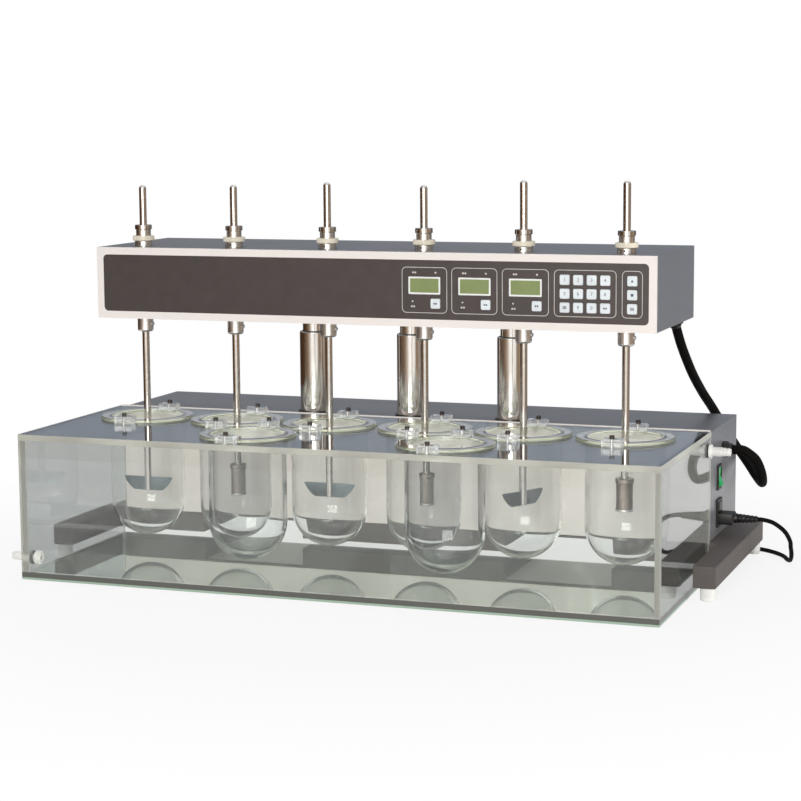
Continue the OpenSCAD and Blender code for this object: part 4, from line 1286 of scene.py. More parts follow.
@dataclass
class BaseAndCabinet(Dressed):
    """The base with its feet, the cabinet, and what is on the cabinet's right side."""

    frame_edge: float = 0.0016
    plate_clear: float = 0.010
    cover_edge: float = 0.0008
    panel_edge: float = 0.0005
    switch_edge: float = 0.0004
    fold: float = 0.006
    fold_skin: float = 0.0004
    lip: float = 0.0010
    foot_radius: float = 0.0105
    foot_edge: float = 0.0012
    foot_draft: float = 0.0004
    foot_chamfer: float = 0.001
    thread_radius: float = 0.008
    gland_radius: float = 0.011
    gland_edge: float = 0.0012
    dome_radius: float = 0.009
    dome_edge: float = 0.003
    gland_heights: tuple[float, float, float] = (-0.006, 0.008, 0.014)
    head_nut: float = 0.006
    ball_radius: float = 0.009

    def build(self) -> None:
        """Make every piece of the base and the cabinet."""
        base, black, fine = Body.BASE.value, "black_plastic", self.switch_edge
        self.build_frame()
        for row in (
                ("cabinet_cover", "cabinet_shell", self.looks.grey_paint, self.cover_edge, base,
                 "grey_paint"),
                ("cabinet_front_panel", "cabinet_front", self.looks.cream_paint, self.panel_edge, base,
                 "cream_paint"),
                ("switch_housing", "switch_bezel", self.looks.black, fine, base, black),
                ("switch_rocker", "rocker_cap", self.looks.rocker, fine, Body.ROCKER.value, "lit_rocker"),
                ("power_inlet", "inlet_socket", self.looks.black, fine, base, black)):
            stand_in(*row)
        self.build_front_edge()
        self.build_feet()
        self.build_cabinet_gland()
        self.build_head_gland()
        dress("lift_drive", self.looks.motor_paint)
        dress("heater_pump", self.looks.milled)

    def build_frame(self) -> None:
        """Make the dark frame of the base; the downward faces of its plate take the cream paint, which
        lightens that shaded underside and its reflection in the pane.
        """
        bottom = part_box("base_frame")[0].z
        casting = refined("base_frame", "base_casting", self.looks.base_paint, self.frame_edge)
        casting.data.materials.append(self.looks.cream_paint)
        for face in casting.data.polygons:
            if face.normal.z < DOWNWARD and face.center.z > bottom + self.plate_clear:
                face.material_index = 1
        fit(casting, Body.BASE.value, "base_paint", "base_frame")

    def build_front_edge(self) -> None:
        """Fold the front panel's cream edge over the top and the sides of the cabinet."""
        low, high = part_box("cabinet_front_panel")
        bath_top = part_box("bath_top_plate")[1].z
        back, skin = low.y + self.fold, self.fold_skin
        shape = bmesh.new()
        add_box(shape, (low.x, low.y, high.z), (high.x, high.y, bath_top + self.lip))
        add_box(shape, (low.x, low.y, high.z), (high.x, back, high.z + skin))
        for x in (low.x - skin, high.x):
            add_box(shape, (x, low.y, low.z), (x + skin, back, high.z + skin))
        fit(finished("cabinet_front_edge", shape, self.looks.cream_paint), Body.BASE.value, "cream_paint")

    def build_feet(self) -> None:
        """Turn the four feet."""
        low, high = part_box("base_feet")
        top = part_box("base_frame")[0].z
        radius, edge = self.foot_radius, self.foot_edge
        profile = [(0.0, 0.0), *arc((radius - self.foot_draft - edge, edge), edge, -90, 0, 4),
                   (radius, top - self.foot_chamfer), (radius - self.foot_chamfer, top), (0.0, top)]
        shape = bmesh.new()
        for x in (low.x + radius, high.x - radius):
            for y in (low.y + radius, high.y - radius):
                turn(shape, profile, along("+Z", (x, y, low.z)), closed=False, steps=40)
        fit(finished("feet", shape, self.looks.nylon), Body.BASE.value, "pale_plastic", "base_feet")

    def gland(self, root: float, nut: float) -> list[Point]:
        """The profile of a gland's thread and nut, up to the nut's outer edge.

        Args:
            root: the height of the thread's end.
            nut: the nut's height.

        Returns:
            The points.
        """
        rounded = self.gland_radius - self.gland_edge
        return [(0.0, root), (self.thread_radius, root), (self.thread_radius, 0.0), (rounded, 0.0),
                *arc((rounded, self.gland_edge), self.gland_edge, -90, 0, 3),
                *arc((rounded, nut - self.gland_edge), self.gland_edge, 0, 90, 3)]

    def build_cabinet_gland(self) -> None:
        """Turn the cabinet's conduit gland with its nut and dome."""
        low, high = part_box("cabinet_gland")
        middle = (low + high) / 2.0
        root, nut, top = self.gland_heights
        rounded = self.dome_radius - self.dome_edge
        profile = [*self.gland(root, nut), (self.dome_radius, nut),
                   *arc((rounded, top - self.dome_edge), self.dome_edge, 0, 90, 5), (0.0, top)]
        place = along("+X", (high.x - top, middle.y, middle.z))
        piece = turned("cabinet_gland_turned", profile, place, self.looks.black, False, 48)
        fit(piece, Body.BASE.value, "black_plastic", "cabinet_gland")

    def build_head_gland(self) -> None:
        """Turn the nut under the head and the ball that the conduit leaves on a slant."""
        low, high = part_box("head_gland")
        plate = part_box("head_chassis")[0].z
        ball = low.z + self.ball_radius
        profile = [*self.gland(plate - high.z, self.head_nut),
                   *arc((0.0, plate - ball), self.ball_radius, 0, 90, 12)]
        place = along("-Z", ((low.x + high.x) / 2.0, (low.y + high.y) / 2.0, plate))
        piece = turned("head_gland_turned", profile, place, self.looks.black, False, 48)
        fit(piece, Body.HEAD.value, "black_plastic", "head_gland")


@dataclass
class LiftColumns(Dressed):
    """Three chromed tubes, the guide rods that slide in them, a wiper on each tube, and a black ring at each
    tube's foot that paints the shade there.
    """

    tube_radius: float = 0.020
    tube_edge: float = 0.0016
    lip: float = 0.0006
    rod_radius: float = 0.0155
    wiper_height: float = 0.004
    wiper_width: float = 0.0022
    wiper_edge: float = 0.0006
    # The black ring at each tube's foot is painted shade.
    shade_ring_width: float = 0.0032
    shade_ring_height: float = 0.0022
    foot_edge: float = 0.0008

    def build(self) -> None:
        """Turn the tubes, the wipers and the rods."""
        low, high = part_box("column_tubes")
        rods_low, rods_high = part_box("guide_rods")
        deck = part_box("cabinet_cover")[1].z
        radius, bore = self.tube_radius, self.rod_radius + SLIP
        top, length = high.z - low.z, rods_high.z - rods_low.z
        seat, shoulder = bore + self.wiper_width, top - self.lip - self.tube_edge
        tube = [(bore, 0.0), (radius, 0.0), (radius, shoulder),
                *arc((radius - self.tube_edge, shoulder), self.tube_edge, 0, 90, 4)[1:],
                (seat, top - self.lip), (seat, top - self.wiper_height), (bore, top - self.wiper_height)]
        wiper = eased(seat - GAP, top - self.wiper_height + GAP, top, bore, self.wiper_edge)
        # A black ring round each tube's foot: painted shade where the tube stands on the cabinet.
        foot = eased(radius + self.shade_ring_width, 0.0, self.shade_ring_height, radius + GAP, self.foot_edge)
        rod = [(0.0, 0.0), (self.rod_radius, 0.0), (self.rod_radius, length), (0.0, length)]
        tubes, rings, rods = bmesh.new(), bmesh.new(), bmesh.new()
        y = (low.y + high.y) / 2.0
        for x in (low.x + radius, (low.x + high.x) / 2.0, high.x - radius):
            turn(tubes, tube, along("+Z", (x, y, low.z)), steps=96)
            turn(rings, wiper, along("+Z", (x, y, low.z)), steps=64)
            turn(rings, foot, along("+Z", (x, y, deck)), steps=64)
            turn(rods, rod, along("+Z", (x, y, rods_low.z)), closed=False, steps=72)
        fit(finished("chromed_columns", tubes, self.looks.chrome), Body.BASE.value, "chrome", "column_tubes")
        fit(finished("column_wipers_and_shade_rings", rings, self.looks.black), Body.BASE.value, "black_plastic")
        fit(finished("lift_rods", rods, self.looks.chrome), Body.HEAD.value, "steel", "guide_rods")


# Bath and vessels


@dataclass
class WaterBath(Dressed):
    """The clear bath on its tinted floor, with its hose fittings."""

    edge: float = 0.0006
    glue_line: float = 0.00004
    wall: float = 0.008
    # The thin pale green sheet under the pane is a painted highlight.
    sheet: float = 0.0030
    bore: float = 0.0035
    thread: float = 0.00575
    thread_in: float = 0.008
    seal: float = 0.0025
    seal_inset: float = 0.0005
    ring_edge: float = 0.0010
    flange: float = 0.0095
    flange_top: float = 0.006
    flange_edge: float = 0.0008
    body: float = 0.00625
    spigot: float = 0.00575
    barb_length: float = 0.011
    barbs: tuple[Point, ...] = (
        (-0.0002, 0.0), (0.0, 0.004), (-0.0008, 0.0042), (-0.0002, 0.0082), (-0.0012, 0.011))
    barb_step: float = 0.0004
    nut_out: float = 0.0003
    nut_in: float = 0.006

    def build(self) -> None:
        """Make the bath's boards and its two fittings."""
        base = Body.BASE.value
        self.build_pane()
        boards = refined("bath_walls", "bath_boards", self.looks.acrylic, self.edge, self.glue_line)
        # The lid's acrylic carries painted shade and painted reflection in its tint.
        lid = refined("bath_top_plate", "bath_lid_plate", self.looks.shaded_lid_acrylic, self.edge, self.glue_line)
        for board in (boards, lid):
            tint_edges(board, self.looks.board_edge, self.wall + 2 * GAP)
        self.shade_end_boards(boards)
        fit(let_light_through(boards), base, "clear_acrylic", "bath_walls")
        fit(let_light_through(lid), base, "clear_acrylic", "bath_top_plate")
        self.build_fitting("overflow_fitting", "+X")
        self.build_fitting("drain_fitting", "-X")

    def shade_end_boards(self, boards: Piece) -> None:
        """Give the two end boards the darker acrylic whose tint is painted shade.

        Args:
            boards: the four boards.
        """
        boards.data.materials.append(self.looks.shaded_end_acrylic)
        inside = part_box("bath_walls")[1].x - self.wall - GAP
        for face in boards.data.polygons:
            across = [boards.data.vertices[i].co.x for i in face.vertices]
            if face.material_index == 0 and (min(across) > inside or max(across) < -inside):
                face.material_index = 2

    def build_pane(self) -> None:
        """Make the mirrored floor pane, dark at its edges, on a thin pale green sheet that paints a highlight
        along its lower edge.
        """
        low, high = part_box("bath_floor")
        split = low.z + self.sheet
        for name, bottom, top, finish, edge, nodes in (
                ("bath_pane", split, high.z, self.looks.pane, self.looks.pane_edge, ["bath_floor"]),
                ("bath_pane_highlight_sheet", low.z, split, self.looks.pane_highlight, self.looks.pane_highlight, [])):
            shape = bmesh.new()
            add_box(shape, (low.x, low.y, bottom), (high.x, high.y, top))
            round_edges(shape, shape.edges[:], self.edge / 2.0, 2)
            pane = tint_edges(finished(name, shape, finish, COPY_SHARP), edge, high.z - low.z)
            fit(pane, Body.BASE.value, "tinted_acrylic", *nodes)

    def build_fitting(self, node: str, axis: str) -> None:
        """Turn a hose fitting with its sealing ring and inner nut.

        Args:
            node: the solid that it stands for.
            axis: which way the hose leaves.
        """
        low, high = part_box(node)
        middle = (low + high) / 2.0
        walls_low, walls_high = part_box("bath_walls")
        outside = walls_high.x if axis == "+X" else walls_low.x
        tip = abs((high.x if axis == "+X" else low.x) - outside)
        place = along(axis, (outside, middle.y, middle.z))
        base, inside, snug = Body.BASE.value, -self.wall, self.thread + GAP
        end, barb, edge = inside - self.thread_in, tip - self.barb_length, self.flange_edge
        profile = [(self.bore, end), (self.thread, end), (self.thread, self.seal), (self.flange, self.seal),
                   *arc((self.flange - edge, self.flange_top - edge), edge, 0, 90, 3),
                   (self.body, self.flange_top), (self.body, barb - self.barb_step),
                   *((self.spigot + out, barb + up) for out, up in self.barbs), (self.bore, tip)]
        fit(turned(node + "_nipple", profile, place, self.looks.nylon), base, "pale_plastic", node)
        ring = eased(self.flange - self.seal_inset, GAP, self.seal - GAP, snug, self.ring_edge)
        fit(turned(node + "_seal", ring, place, self.looks.black), base, "cord_rubber")
        nut = eased(self.flange + self.nut_out, inside - self.nut_in, inside - GAP, snug, self.ring_edge)
        fit(turned(node + "_nut", nut, place, self.looks.nylon, steps=48), base, "pale_plastic")


@dataclass
class Glassware(Dressed):
    """The round-bottomed vessels and the clips that hold them down."""

    radius: float = 0.052
    wall: float = 0.0025
    rim_radius: float = 0.065
    rim: float = 0.004
    rim_band: float = 0.0014
    clip_edge: float = 0.0009
    fillet: float = 0.0015
    edge: float = 0.0013
    mouth: float = 0.002
    screw_radius: float = 0.00325
    screw_height: float = 0.0045
    screw_edge: float = 0.0008
    shank_radius: float = 0.002
    socket_radius: float = 0.0019
    socket_depth: float = 0.0016

    def vessel(self, low: float, high: float) -> list[Point]:
        """The profile of a vessel.

        Args:
            low: the height of its bottom.
            high: the height of its rim.

        Returns:
            The points, from the bottom outside up over the rim and down the inside.
        """
        bend, under = low + self.radius, high - self.rim
        inner, outer = self.radius - self.wall, self.rim_radius - self.edge
        return [*arc((0.0, bend), self.radius, -90, 0, 32),
                *arc((self.radius + self.fillet, under - self.fillet), self.fillet, 180, 90, 4),
                *arc((outer, under + self.edge), self.edge, -90, 0, 4),
                *arc((outer, high - self.edge), self.edge, 0, 90, 4),
                *arc((inner + self.mouth, high - self.mouth), self.mouth, 90, 180, 4),
                *arc((0.0, bend), inner, 0, -90, 32)]

    def build(self) -> None:
        """Turn the vessels, and make the clips and their screws."""
        base = Body.BASE.value
        low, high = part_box("stirred_vessels")
        profile = self.vessel(low.z, high.z)
        stirred, spare = bmesh.new(), bmesh.new()
        for i in STIRRERS:
            self.add_vessel(stirred, profile, (*shaft_of(i), SLIP))
        fit(self.rimmed("stirred_glass", stirred), base, "vessel_glass", "stirred_vessels")
        spare_low, spare_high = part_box("spare_vessels")
        y = (spare_low.y + spare_high.y) / 2.0
        for x in (spare_low.x + self.rim_radius, spare_high.x - self.rim_radius):
            self.add_vessel(spare, profile, (x, y, SLIP))
        fit(self.rimmed("spare_glass", spare), base, "vessel_glass", "spare_vessels")
        clips = refined("vessel_clips", "rim_clips", self.looks.clip_acrylic, self.clip_edge, 2 * SLIP)
        fit(let_light_through(clips), base, "clear_acrylic", "vessel_clips")
        self.build_screws()

    def add_vessel(self, shape: bmesh.types.BMesh, profile: Sequence[Point], place: Sequence[float]) -> None:
        """Turn one vessel and mark the outer band of its rim.

        Args:
            shape: the bmesh that takes it.
            profile: the vessel's profile.
            place: where its axis stands.
        """
        turn(shape, profile, along("+Z", place), closed=False, steps=112)
        axis = Vector(place).xy
        for face in shape.faces:
            out = (face.calc_center_median().xy - axis).length
            if self.rim_radius - self.rim_band < out < self.rim_radius + GAP:
                face.material_index = 1

    def rimmed(self, name: str, shape: bmesh.types.BMesh) -> Piece:
        """Finish vessels in glass, with tinted rims.

        Args:
            name: the object's name.
            shape: the vessels, which are freed.

        Returns:
            The new object.
        """
        piece = finished(name, shape, self.looks.glass)
        piece.data.materials.append(self.looks.rim_edge)
        return let_light_through(piece)

    def build_screws(self) -> None:
        """Turn the clip screws, each with a socket in its dark head and a bright shank."""
        low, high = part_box("clip_screws")
        under, edge, shank = high.z - self.screw_height, self.screw_edge, self.shank_radius
        floor = high.z - self.socket_depth
        profile = [(0.0, low.z), (shank, low.z), (shank, under), (self.screw_radius, under),
                   *arc((self.screw_radius - edge, high.z - edge), edge, 0, 90, 3),
                   (self.socket_radius, high.z), (self.socket_radius, floor), (0.0, floor)]
        shape = bmesh.new()
        for x, y in screw_places():
            turn(shape, profile, along("+Z", (x, y, 0.0)), closed=False, steps=24)
        for face in shape.faces:
            if face.calc_center_median().z < under - GAP:
                face.material_index = 1
        screws = finished("clip_screw_heads", shape, self.looks.screw_steel)
        screws.data.materials.append(self.looks.steel)
        fit(screws, Body.BASE.value, "steel", "clip_screws")


def screw_places() -> list[Point]:
    """Where the clip screws stand.

    Returns:
        Their places across and back, from the islands of their solid, left to right.
    """
    solid = bmesh.new()
    solid.from_mesh(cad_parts["clip_screws"].data)
    bmesh.ops.remove_doubles(solid, verts=solid.verts, dist=WELD)
    left = set(solid.verts)
    places = []
    while left:
        island, queue = set(), [next(iter(left))]
        while queue:
            vert = queue.pop()
            if vert in island:
                continue
            island.add(vert)
            queue.extend(edge.other_vert(vert) for edge in vert.link_edges)
        left -= island
        xs = [v.co.x for v in island]
        ys = [v.co.y for v in island]
        places.append(((min(xs) + max(xs)) / 2.0, (min(ys) + max(ys)) / 2.0))
    solid.free()
    return sorted(places)


def shaft_of(index: int) -> Point:
    """Where a stirrer's shaft stands, across and back, in metres."""
    low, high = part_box(f"stirrer_{index}")
    return (low.x + high.x) / 2.0, (low.y + high.y) / 2.0


# Stirrers


@dataclass
class Stirrer(Dressed):
    """One stirrer: spindle, collar, ivory grip, lock nut, rod, and a paddle or a basket."""

    index: int
    paddle: bool
    turned_by: float = 0.0
    rod: float = 0.005
    rod_edge: float = 0.0003
    tube: float = 0.010
    head_gap: float = 0.0003
    collar: float = 0.011
    collar_height: float = 0.022
    collar_edge: float = 0.003
    collar_chamfer: float = 0.0005
    set_screw: tuple[Point, ...] = (
        (0.0, 0.0), (0.0025, 0.0), (0.0025, 0.0024), (0.0021, 0.0029), (0.0013, 0.0029), (0.0013, 0.0016),
        (0.0, 0.0016))
    screw_sunk: float = 0.001
    pulley: float = 0.020
    belt_drop: float = 0.0335
    belt_width: float = 0.010
    socket: float = 0.01225
    socket_up: float = 0.007
    socket_down: float = 0.0092
    socket_edge: float = 0.0006
    # A dark disc that paints the shade in the socket's key hole.
    hole_shade_disc: tuple[Point, ...] = ((0.0, 0.0), (0.0014, 0.0), (0.0014, 0.0005), (0.0, 0.0005))
    hole_sunk: float = 0.0004
    grip: float = 0.015
    grip_up: float = 0.014
    grip_edge: float = 0.0014
    neck: float = 0.01025
    neck_up: float = 0.0225
    neck_edge: float = 0.0008
    nut: float = 0.01175
    nut_up: float = 0.029
    nut_edge: float = 0.0008
    knurl: float = 0.05
    knurl_teeth: float = 24.0
    blade_half: float = 0.03725
    blade_height: float = 0.019
    blade_thick: float = 0.004
    blade_side: float = 0.0403
    blade_edge: float = 0.0005
    basket_radius: float = 0.011
    basket_height: float = 0.037
    basket_wall: float = 0.0006
    basket_floor: float = 0.0005
    cap_radius: float = 0.0125
    cap_height: float = 0.006
    cap_edge: float = 0.0008
    cap_neck: tuple[Point, ...] = ((0.0062, 0.006), (0.0056, 0.0085), (0.0, 0.0085))
    stub_up: float = 0.038
    rim_height: float = 0.003
    rim_out: float = 0.001
    rim_in: float = 0.0008
    rim_edge: float = 0.0007
    heights: dict[str, float] = field(default_factory=dict)

    def build(self) -> None:
        """Make the stirrer's pieces."""
        low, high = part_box(f"stirrer_{self.index}")
        head_low, head_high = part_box("head_cover")
        self.heights = {"foot": low.z, "tip": high.z, "under": head_low.z, "top": head_high.z}
        x, y = shaft_of(self.index)
        where = along("+Z", (x, y, 0.0))
        name = f"stirrer_{self.index}"
        fit(turned(name + "_spindle", self.spindle(), where, self.looks.steel, steps=72), name, "steel", name)
        fit(self.collar_screw(name, x, y), name, "steel")
        seat, top = head_high.z + self.socket_up + GAP, head_high.z + self.grip_up
        grip = eased(self.grip, seat, top, self.neck + GAP, self.grip_edge)
        fit(turned(name + "_grip", grip, where, self.looks.ivory, steps=72), name, "pale_plastic")
        fit(self.lock_nut(name, where), name, "steel")
        fit(self.socket_hole_shade(name, x, y), name, "black_plastic")
        fit(turned(name + "_rod", self.rod_profile(), where, self.looks.rod_steel, False, 40), name, "steel")
        if self.paddle:
            fit(self.blade(name, x, y), name, "steel")
        else:
            self.basket(name, where)

    def spindle(self) -> list[Point]:
        """The profile of the collar, spindle, pulley, socket and neck, round the rod's bore.

        Returns:
            The points, for a closed profile.
        """
        under, top = self.heights["under"] - self.head_gap, self.heights["top"]
        bore, edge, chamfer = self.rod + SLIP, self.collar_edge, self.collar_chamfer
        bottom = self.heights["under"] - self.collar_height
        belt = top - self.belt_drop
        shoulder, end = top + self.socket_up, top + self.neck_up
        return [(bore, bottom), *arc((self.collar - edge, bottom + edge), edge, -90, 0, 5),
                (self.collar, under - chamfer), (self.collar - chamfer, under), (self.tube, under),
                (self.tube, belt), (self.pulley, belt), (self.pulley, belt + self.belt_width),
                (self.tube, belt + self.belt_width), (self.tube, top - self.socket_down),
                (self.socket, top - self.socket_down), (self.socket, shoulder - self.socket_edge),
                (self.socket - self.socket_edge, shoulder), (self.neck, shoulder),
                (self.neck, end - self.neck_edge), (self.neck - self.neck_edge, end), (bore, end)]

    def rod_profile(self) -> list[Point]:
        """The profile of the rod, with its rounded tip and, on a basket, a stub into the cap.

        Returns:
            The points, from the foot up.
        """
        foot = self.heights["foot"] + (0.0 if self.paddle else self.stub_up)
        dome = self.heights["tip"] - self.rod
        return [(0.0, foot), (self.rod - self.rod_edge, foot), (self.rod, foot + self.rod_edge),
                *arc((0.0, dome), self.rod, 0, 90, 8)]

    def collar_screw(self, name: str, x: float, y: float) -> Piece:
        """The set screw on the collar's right side."""
        place = (x + self.collar - self.screw_sunk, y, self.heights["under"] - self.collar_height / 2.0)
        return turned(name + "_set_screw", self.set_screw, along("+X", place), self.looks.steel, False, 24)

    def socket_hole_shade(self, name: str, x: float, y: float) -> Piece:
        """A dark disc on the front of the socket: painted shade for the hole for a key."""
        place = (x, y - self.socket + self.hole_sunk, self.heights["top"] + self.socket_up / 2.0)
        return turned(name + "_socket_hole", self.hole_shade_disc, along("-Y", place), self.looks.black, False, 20)

    def lock_nut(self, name: str, where: Matrix) -> Piece:
        """The lock nut: a knurled ring on top of the neck.

        Args:
            name: the stirrer's name.
            where: the stirrer's placing.

        Returns:
            The nut.
        """
        top, axis = self.heights["top"], where.translation.xy
        shape = bmesh.new()
        ring = eased(self.nut, top + self.neck_up + GAP, top + self.nut_up, self.rod + GAP, self.nut_edge)
        turn(shape, ring, where, steps=48)
        for vert in shape.verts:
            out = vert.co.xy - axis
            if out.length > self.nut - 2 * GAP:
                angle = math.atan2(out.y, out.x)
                out *= 1.0 - self.knurl * (0.5 + 0.5 * math.cos(angle * self.knurl_teeth))
                vert.co.x, vert.co.y = axis.x + out.x, axis.y + out.y
        return finished(name + "_lock_nut", shape, self.looks.rod_steel, 50.0)

    def blade(self, name: str, x: float, y: float) -> Piece:
        """The paddle's blade: a plate with arcs for its sides, turned on the rod.

        Args:
            name: the stirrer's name.
            x: the shaft's place across.
            y: the shaft's place back.

        Returns:
            The blade.
        """
        side = self.blade_side
        up = self.blade_height + math.sqrt(side ** 2 - self.blade_half ** 2)
        start, stop = math.degrees(math.acos(self.blade_half / side)), math.degrees(math.asin(up / side))
        right = arc((0.0, up), side, -start, -stop, 12)
        left = [(-px, pz) for px, pz in reversed(right)]
        shape = bmesh.new()
        slab(shape, [*right, *left], (0.0, self.heights["foot"]), -self.blade_thick / 2.0, self.blade_thick)
        crisp = [e for e in shape.edges if e.calc_face_angle(0.0) > CRISP_ANGLE]
        round_edges(shape, crisp, self.blade_edge, 2)
        spin = Matrix.Translation((x, y, 0.0)) @ Matrix.Rotation(math.radians(self.turned_by), 4, "Z")
        bmesh.ops.transform(shape, matrix=spin, verts=shape.verts)
        return finished(name + "_blade", shape, self.looks.blade_steel)

    def basket(self, name: str, where: Matrix) -> None:
        """The basket: a cap, a woven wall and a rim at its foot.

        Args:
            name: the stirrer's name.
            where: the stirrer's placing.
        """
        foot, radius, edge = self.heights["foot"], self.basket_radius, self.cap_edge
        top, inner, floor = foot + self.basket_height, radius - self.basket_wall, foot + self.basket_floor
        cap = [(0.0, top), *arc((self.cap_radius - edge, top + edge), edge, -90, 0, 3),
               *arc((self.cap_radius - edge, top + self.cap_height - edge), edge, 0, 90, 3),
               *((out, top + up) for out, up in self.cap_neck)]
        fit(turned(name + "_basket_cap", cap, where, self.looks.cap_steel, False, 56), name, "steel")
        body = bmesh.new()
        profile = [(radius, floor), (radius, top), (inner, top), (inner, floor + self.basket_wall),
                   (0.0, floor + self.basket_wall), (0.0, floor)]
        turn(body, profile, where, closed=False, steps=72)
        bmesh.ops.remove_doubles(body, verts=body.verts, dist=FINE_WELD)
        wrap = body.loops.layers.uv.new("wrap")
        axis = where.translation.xy
        for face in body.faces:
            middle = face.calc_center_median().xy - axis
            base = math.atan2(middle.y, middle.x)
            for loop in face.loops:
                out = loop.vert.co.xy - axis
                swing = (math.atan2(out.y, out.x) - base + math.pi) % FULL_TURN - math.pi
                loop[wrap].uv = ((base + swing) / FULL_TURN, (loop.vert.co.z - foot) / self.basket_height)
        fit(finished(name + "_basket_mesh", body, self.looks.wire_mesh), name, "steel")
        rim = eased(radius + self.rim_out, foot, foot + self.rim_height, radius - self.rim_in, self.rim_edge)
        fit(turned(name + "_basket_rim", rim, where, self.looks.steel, steps=56), name, "steel")


# Head and control panel


@dataclass
class Head(Dressed):
    """The head's cover, bezel, dark panel, displays, keys and print."""

    shell_edge: float = 0.0010
    bezel_edge: float = 0.0012
    display_x: tuple[float, ...] = (0.0848, 0.1537, 0.2226)
    display_up: float = 0.0545
    display_size: Point = (0.044, 0.023)
    lens_size: Point = (0.0395, 0.019)
    frame_proud: float = 0.0004
    frame_radius: float = 0.0012
    print_depth: float = 0.00006
    outlines: tuple[Point, ...] = (
        (0.0535, 0.1162), (0.1222, 0.1847), (0.1911, 0.2539), (0.2608, 0.3429), (0.3501, 0.3770))
    outline_up: Point = (0.0183, 0.0787)
    outline_line: float = 0.0008
    outline_radius: float = 0.0062
    marks: tuple[tuple[float, float, int], ...] = (
        (-0.0140, 0.0715, 2), (0.0155, 0.0715, 1), (-0.0160, 0.0268, 2))
    mark_size: Point = (0.0024, 0.0022)
    mark_radius: float = 0.0004
    mark_pitch: float = 0.0032
    led_off: Point = (-0.0164, 0.0335)
    led_radius: float = 0.0011

    def build(self) -> None:
        """Make every piece of the head."""
        head = Body.HEAD.value
        stand_in("head_cover", "head_shell", self.looks.grey_paint, self.shell_edge, head, "grey_paint")
        stand_in("head_bezel", "head_bezel_plate", self.looks.cream_paint, self.bezel_edge, head,
                 "cream_paint")
        for node, finish in (("head_panel", self.looks.film), ("head_chassis", self.looks.milled),
                             ("drive_motor", self.looks.motor_paint), ("drive_belt", self.looks.belt),
                             ("spindle_bearings", self.looks.steel), ("motor_pulley", self.looks.milled)):
            dress(node, finish)
        self.build_displays()
        self.build_print()
        self.build_lights()

    def front(self) -> Point:
        """The panel's front along Y and the head's underside along Z."""
        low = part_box("head_bezel")[0]
        return low.y, low.z

    def build_displays(self) -> None:
        """Make the displays and their white frames."""
        head = Body.HEAD.value
        stand_in("display_modules", "display_crystals", self.looks.crystal, 0.0, head, "display_lens")
        y, z = self.front()
        shape = bmesh.new()
        line = (self.display_size[0] - self.lens_size[0]) / 2.0
        for x in self.display_x:
            frame_strip(shape, self.display_size, self.frame_radius, line, (x, z + self.display_up),
                        y - self.frame_proud, self.frame_proud)
        fit(finished("display_frames", shape, self.looks.lens_frame), head, "key_plastic")

    def build_print(self) -> None:
        """Print the outlines of the groups and small plain marks for their labels."""
        y, z = self.front()
        shape = bmesh.new()
        middle_up = z + sum(self.outline_up) / 2.0
        height = self.outline_up[1] - self.outline_up[0]
        front = y - self.print_depth
        for left, right in self.outlines:
            frame_strip(shape, (right - left, height), self.outline_radius, self.outline_line,
                        ((left + right) / 2.0, middle_up), front, self.print_depth)
        mark = round_corners(*self.mark_size, self.mark_radius, 2)
        for x in self.display_x:
            for across, up, count in self.marks:
                for k in range(count):
                    centre = (x + across + (k - (count - 1) / 2.0) * self.mark_pitch, z + up)
                    slab(shape, mark, centre, front, self.print_depth)
        fit(finished("panel_print", shape, self.looks.pale_print), Body.HEAD.value, "key_plastic")

    def build_lights(self) -> None:
        """A small pale lamp under each display."""
        y, z = self.front()
        shape = bmesh.new()
        dome = [(self.led_radius, 0.0), *arc((0.0, 0.0), self.led_radius, 0, 90, 5)]
        for x in self.display_x:
            place = (x + self.led_off[0], y, z + self.led_off[1])
            turn(shape, dome, along("-Y", place), closed=False, steps=20)
        bmesh.ops.holes_fill(shape, edges=[e for e in shape.edges if e.is_boundary])
        bmesh.ops.recalc_face_normals(shape, faces=shape.faces)
        fit(finished("panel_lamps", shape, self.looks.lens_frame), Body.HEAD.value, "key_plastic")


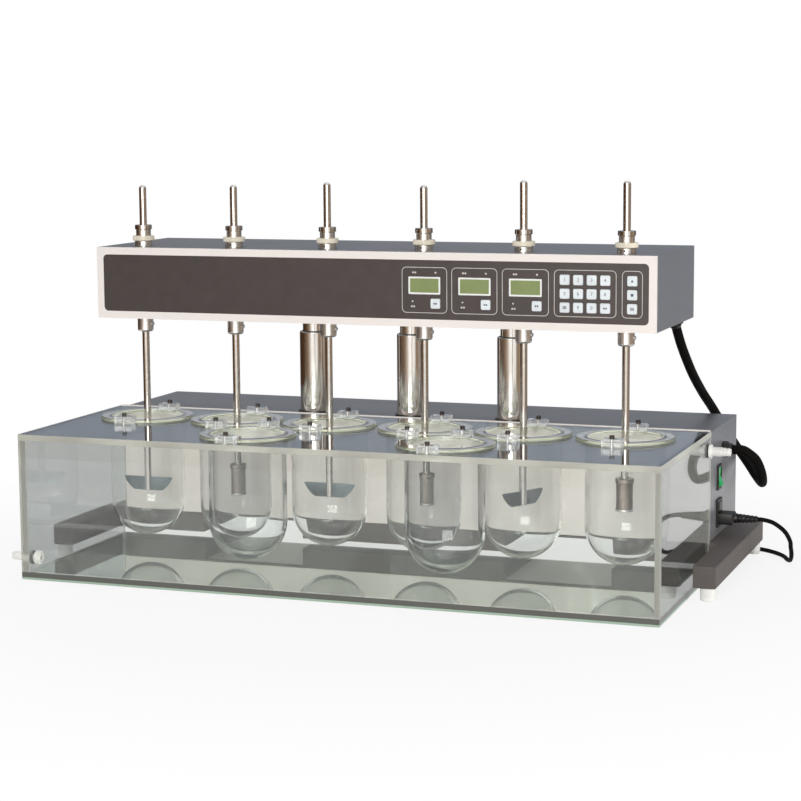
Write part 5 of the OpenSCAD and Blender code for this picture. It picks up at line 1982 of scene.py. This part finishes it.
@dataclass
class Keys(Dressed):
    """The eighteen keys and what is printed on them."""

    edge: float = 0.0007
    print_depth: float = 0.00005
    digit_size: float = 0.0062
    triangle: tuple[Point, ...] = ((-0.002, -0.0016), (0.002, -0.0016), (0.0, 0.0018))
    square: Place = (0.0036, 0.0036, 0.0004)
    bar: Place = (0.0050, 0.0008, 0.0003)
    bar_pitch: float = 0.0013
    mark: Place = (0.0021, 0.0023, 0.0004)
    mark_pitch: float = 0.0027
    legends: dict[str, str | Legend] = field(default_factory=lambda: {
        **{f"key_{n}": str(n) for n in range(10)},
        "key_clear": Legend.BARS, "key_enter": Legend.MARKS, "key_select": Legend.TRIANGLE,
        "key_run": Legend.SQUARE, "key_stop": Legend.BARS, "key_speed": Legend.MARKS,
        "key_heat": Legend.MARKS, "key_time": Legend.MARKS})

    def build(self) -> None:
        """Make each key's cap and print."""
        for node, legend in self.legends.items():
            stand_in(node, node + "_cap", self.looks.key, self.edge, node, "key_plastic")
            low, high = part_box(node)
            middle = ((low.x + high.x) / 2.0, (low.z + high.z) / 2.0)
            front = low.y - self.print_depth
            if isinstance(legend, Legend):
                piece = self.symbol(node, legend, middle, front)
            else:
                piece = self.digit(node, legend, middle, front)
            fit(piece, node, "black_plastic")

    def digit(self, node: str, text: str, middle: Point, front: float) -> Piece:
        """A printed digit.

        Args:
            node: the key's name.
            text: the digit.
            middle: the key's middle across and up.
            front: the print's front along Y.

        Returns:
            The print.
        """
        data = bpy.data.curves.new(node + "_digit", "FONT")
        data.body = text
        data.size = self.digit_size
        data.align_x, data.align_y = "CENTER", "CENTER"
        data.extrude = self.print_depth / 2.0
        letter = bpy.data.objects.new(node + "_letter", data)
        bpy.context.scene.collection.objects.link(letter)
        bpy.context.view_layer.update()
        mesh = bpy.data.meshes.new_from_object(letter.evaluated_get(bpy.context.evaluated_depsgraph_get()))
        bpy.data.objects.remove(letter)
        place = Matrix.Translation((middle[0], front + self.print_depth / 2.0, middle[1]))
        mesh.transform(place @ Matrix.Rotation(math.radians(90.0), 4, "X"))
        mesh.materials.clear()
        mesh.materials.append(self.looks.ink)
        piece = bpy.data.objects.new(node + "_print", mesh)
        bpy.context.scene.collection.objects.link(piece)
        return piece

    def symbol(self, node: str, legend: Legend, middle: Point, front: float) -> Piece:
        """A printed symbol.

        Args:
            node: the key's name.
            legend: the symbol.
            middle: the key's middle across and up.
            front: the print's front along Y.

        Returns:
            The print.
        """
        shape = bmesh.new()
        if legend is Legend.TRIANGLE:
            outlines = [(self.triangle, (0.0, 0.0))]
        elif legend is Legend.SQUARE:
            outlines = [(round_corners(*self.square, 2), (0.0, 0.0))]
        elif legend is Legend.BARS:
            outlines = [(round_corners(*self.bar, 2), (0.0, self.bar_pitch * k)) for k in (-1, 0, 1)]
        else:
            outlines = [(round_corners(*self.mark, 2), (self.mark_pitch * k, 0.0)) for k in (-0.5, 0.5)]
        for outline, off in outlines:
            slab(shape, outline, (middle[0] + off[0], middle[1] + off[1]), front, self.print_depth)
        return finished(node + "_print", shape, self.looks.ink)


def main() -> None:
    """Build the scene: camera and cords first, then the instrument from the bench up."""
    logging.basicConfig(level=logging.INFO, format="%(message)s")
    PhotoCamera().build()
    looks = Finishes()
    MainsLead(looks).build()
    HeadConduit(looks).build()
    Studio().build()
    BaseAndCabinet(looks).build()
    LiftColumns(looks).build()
    WaterBath(looks).build()
    Glassware(looks).build()
    for index in STIRRERS:
        Stirrer(looks, index, paddle=index % 2 == 1, turned_by=TURNED_BY.get(index, 0.0)).build()
    Head(looks).build()
    Keys(looks).build()


if __name__ == "__main__":
    main()
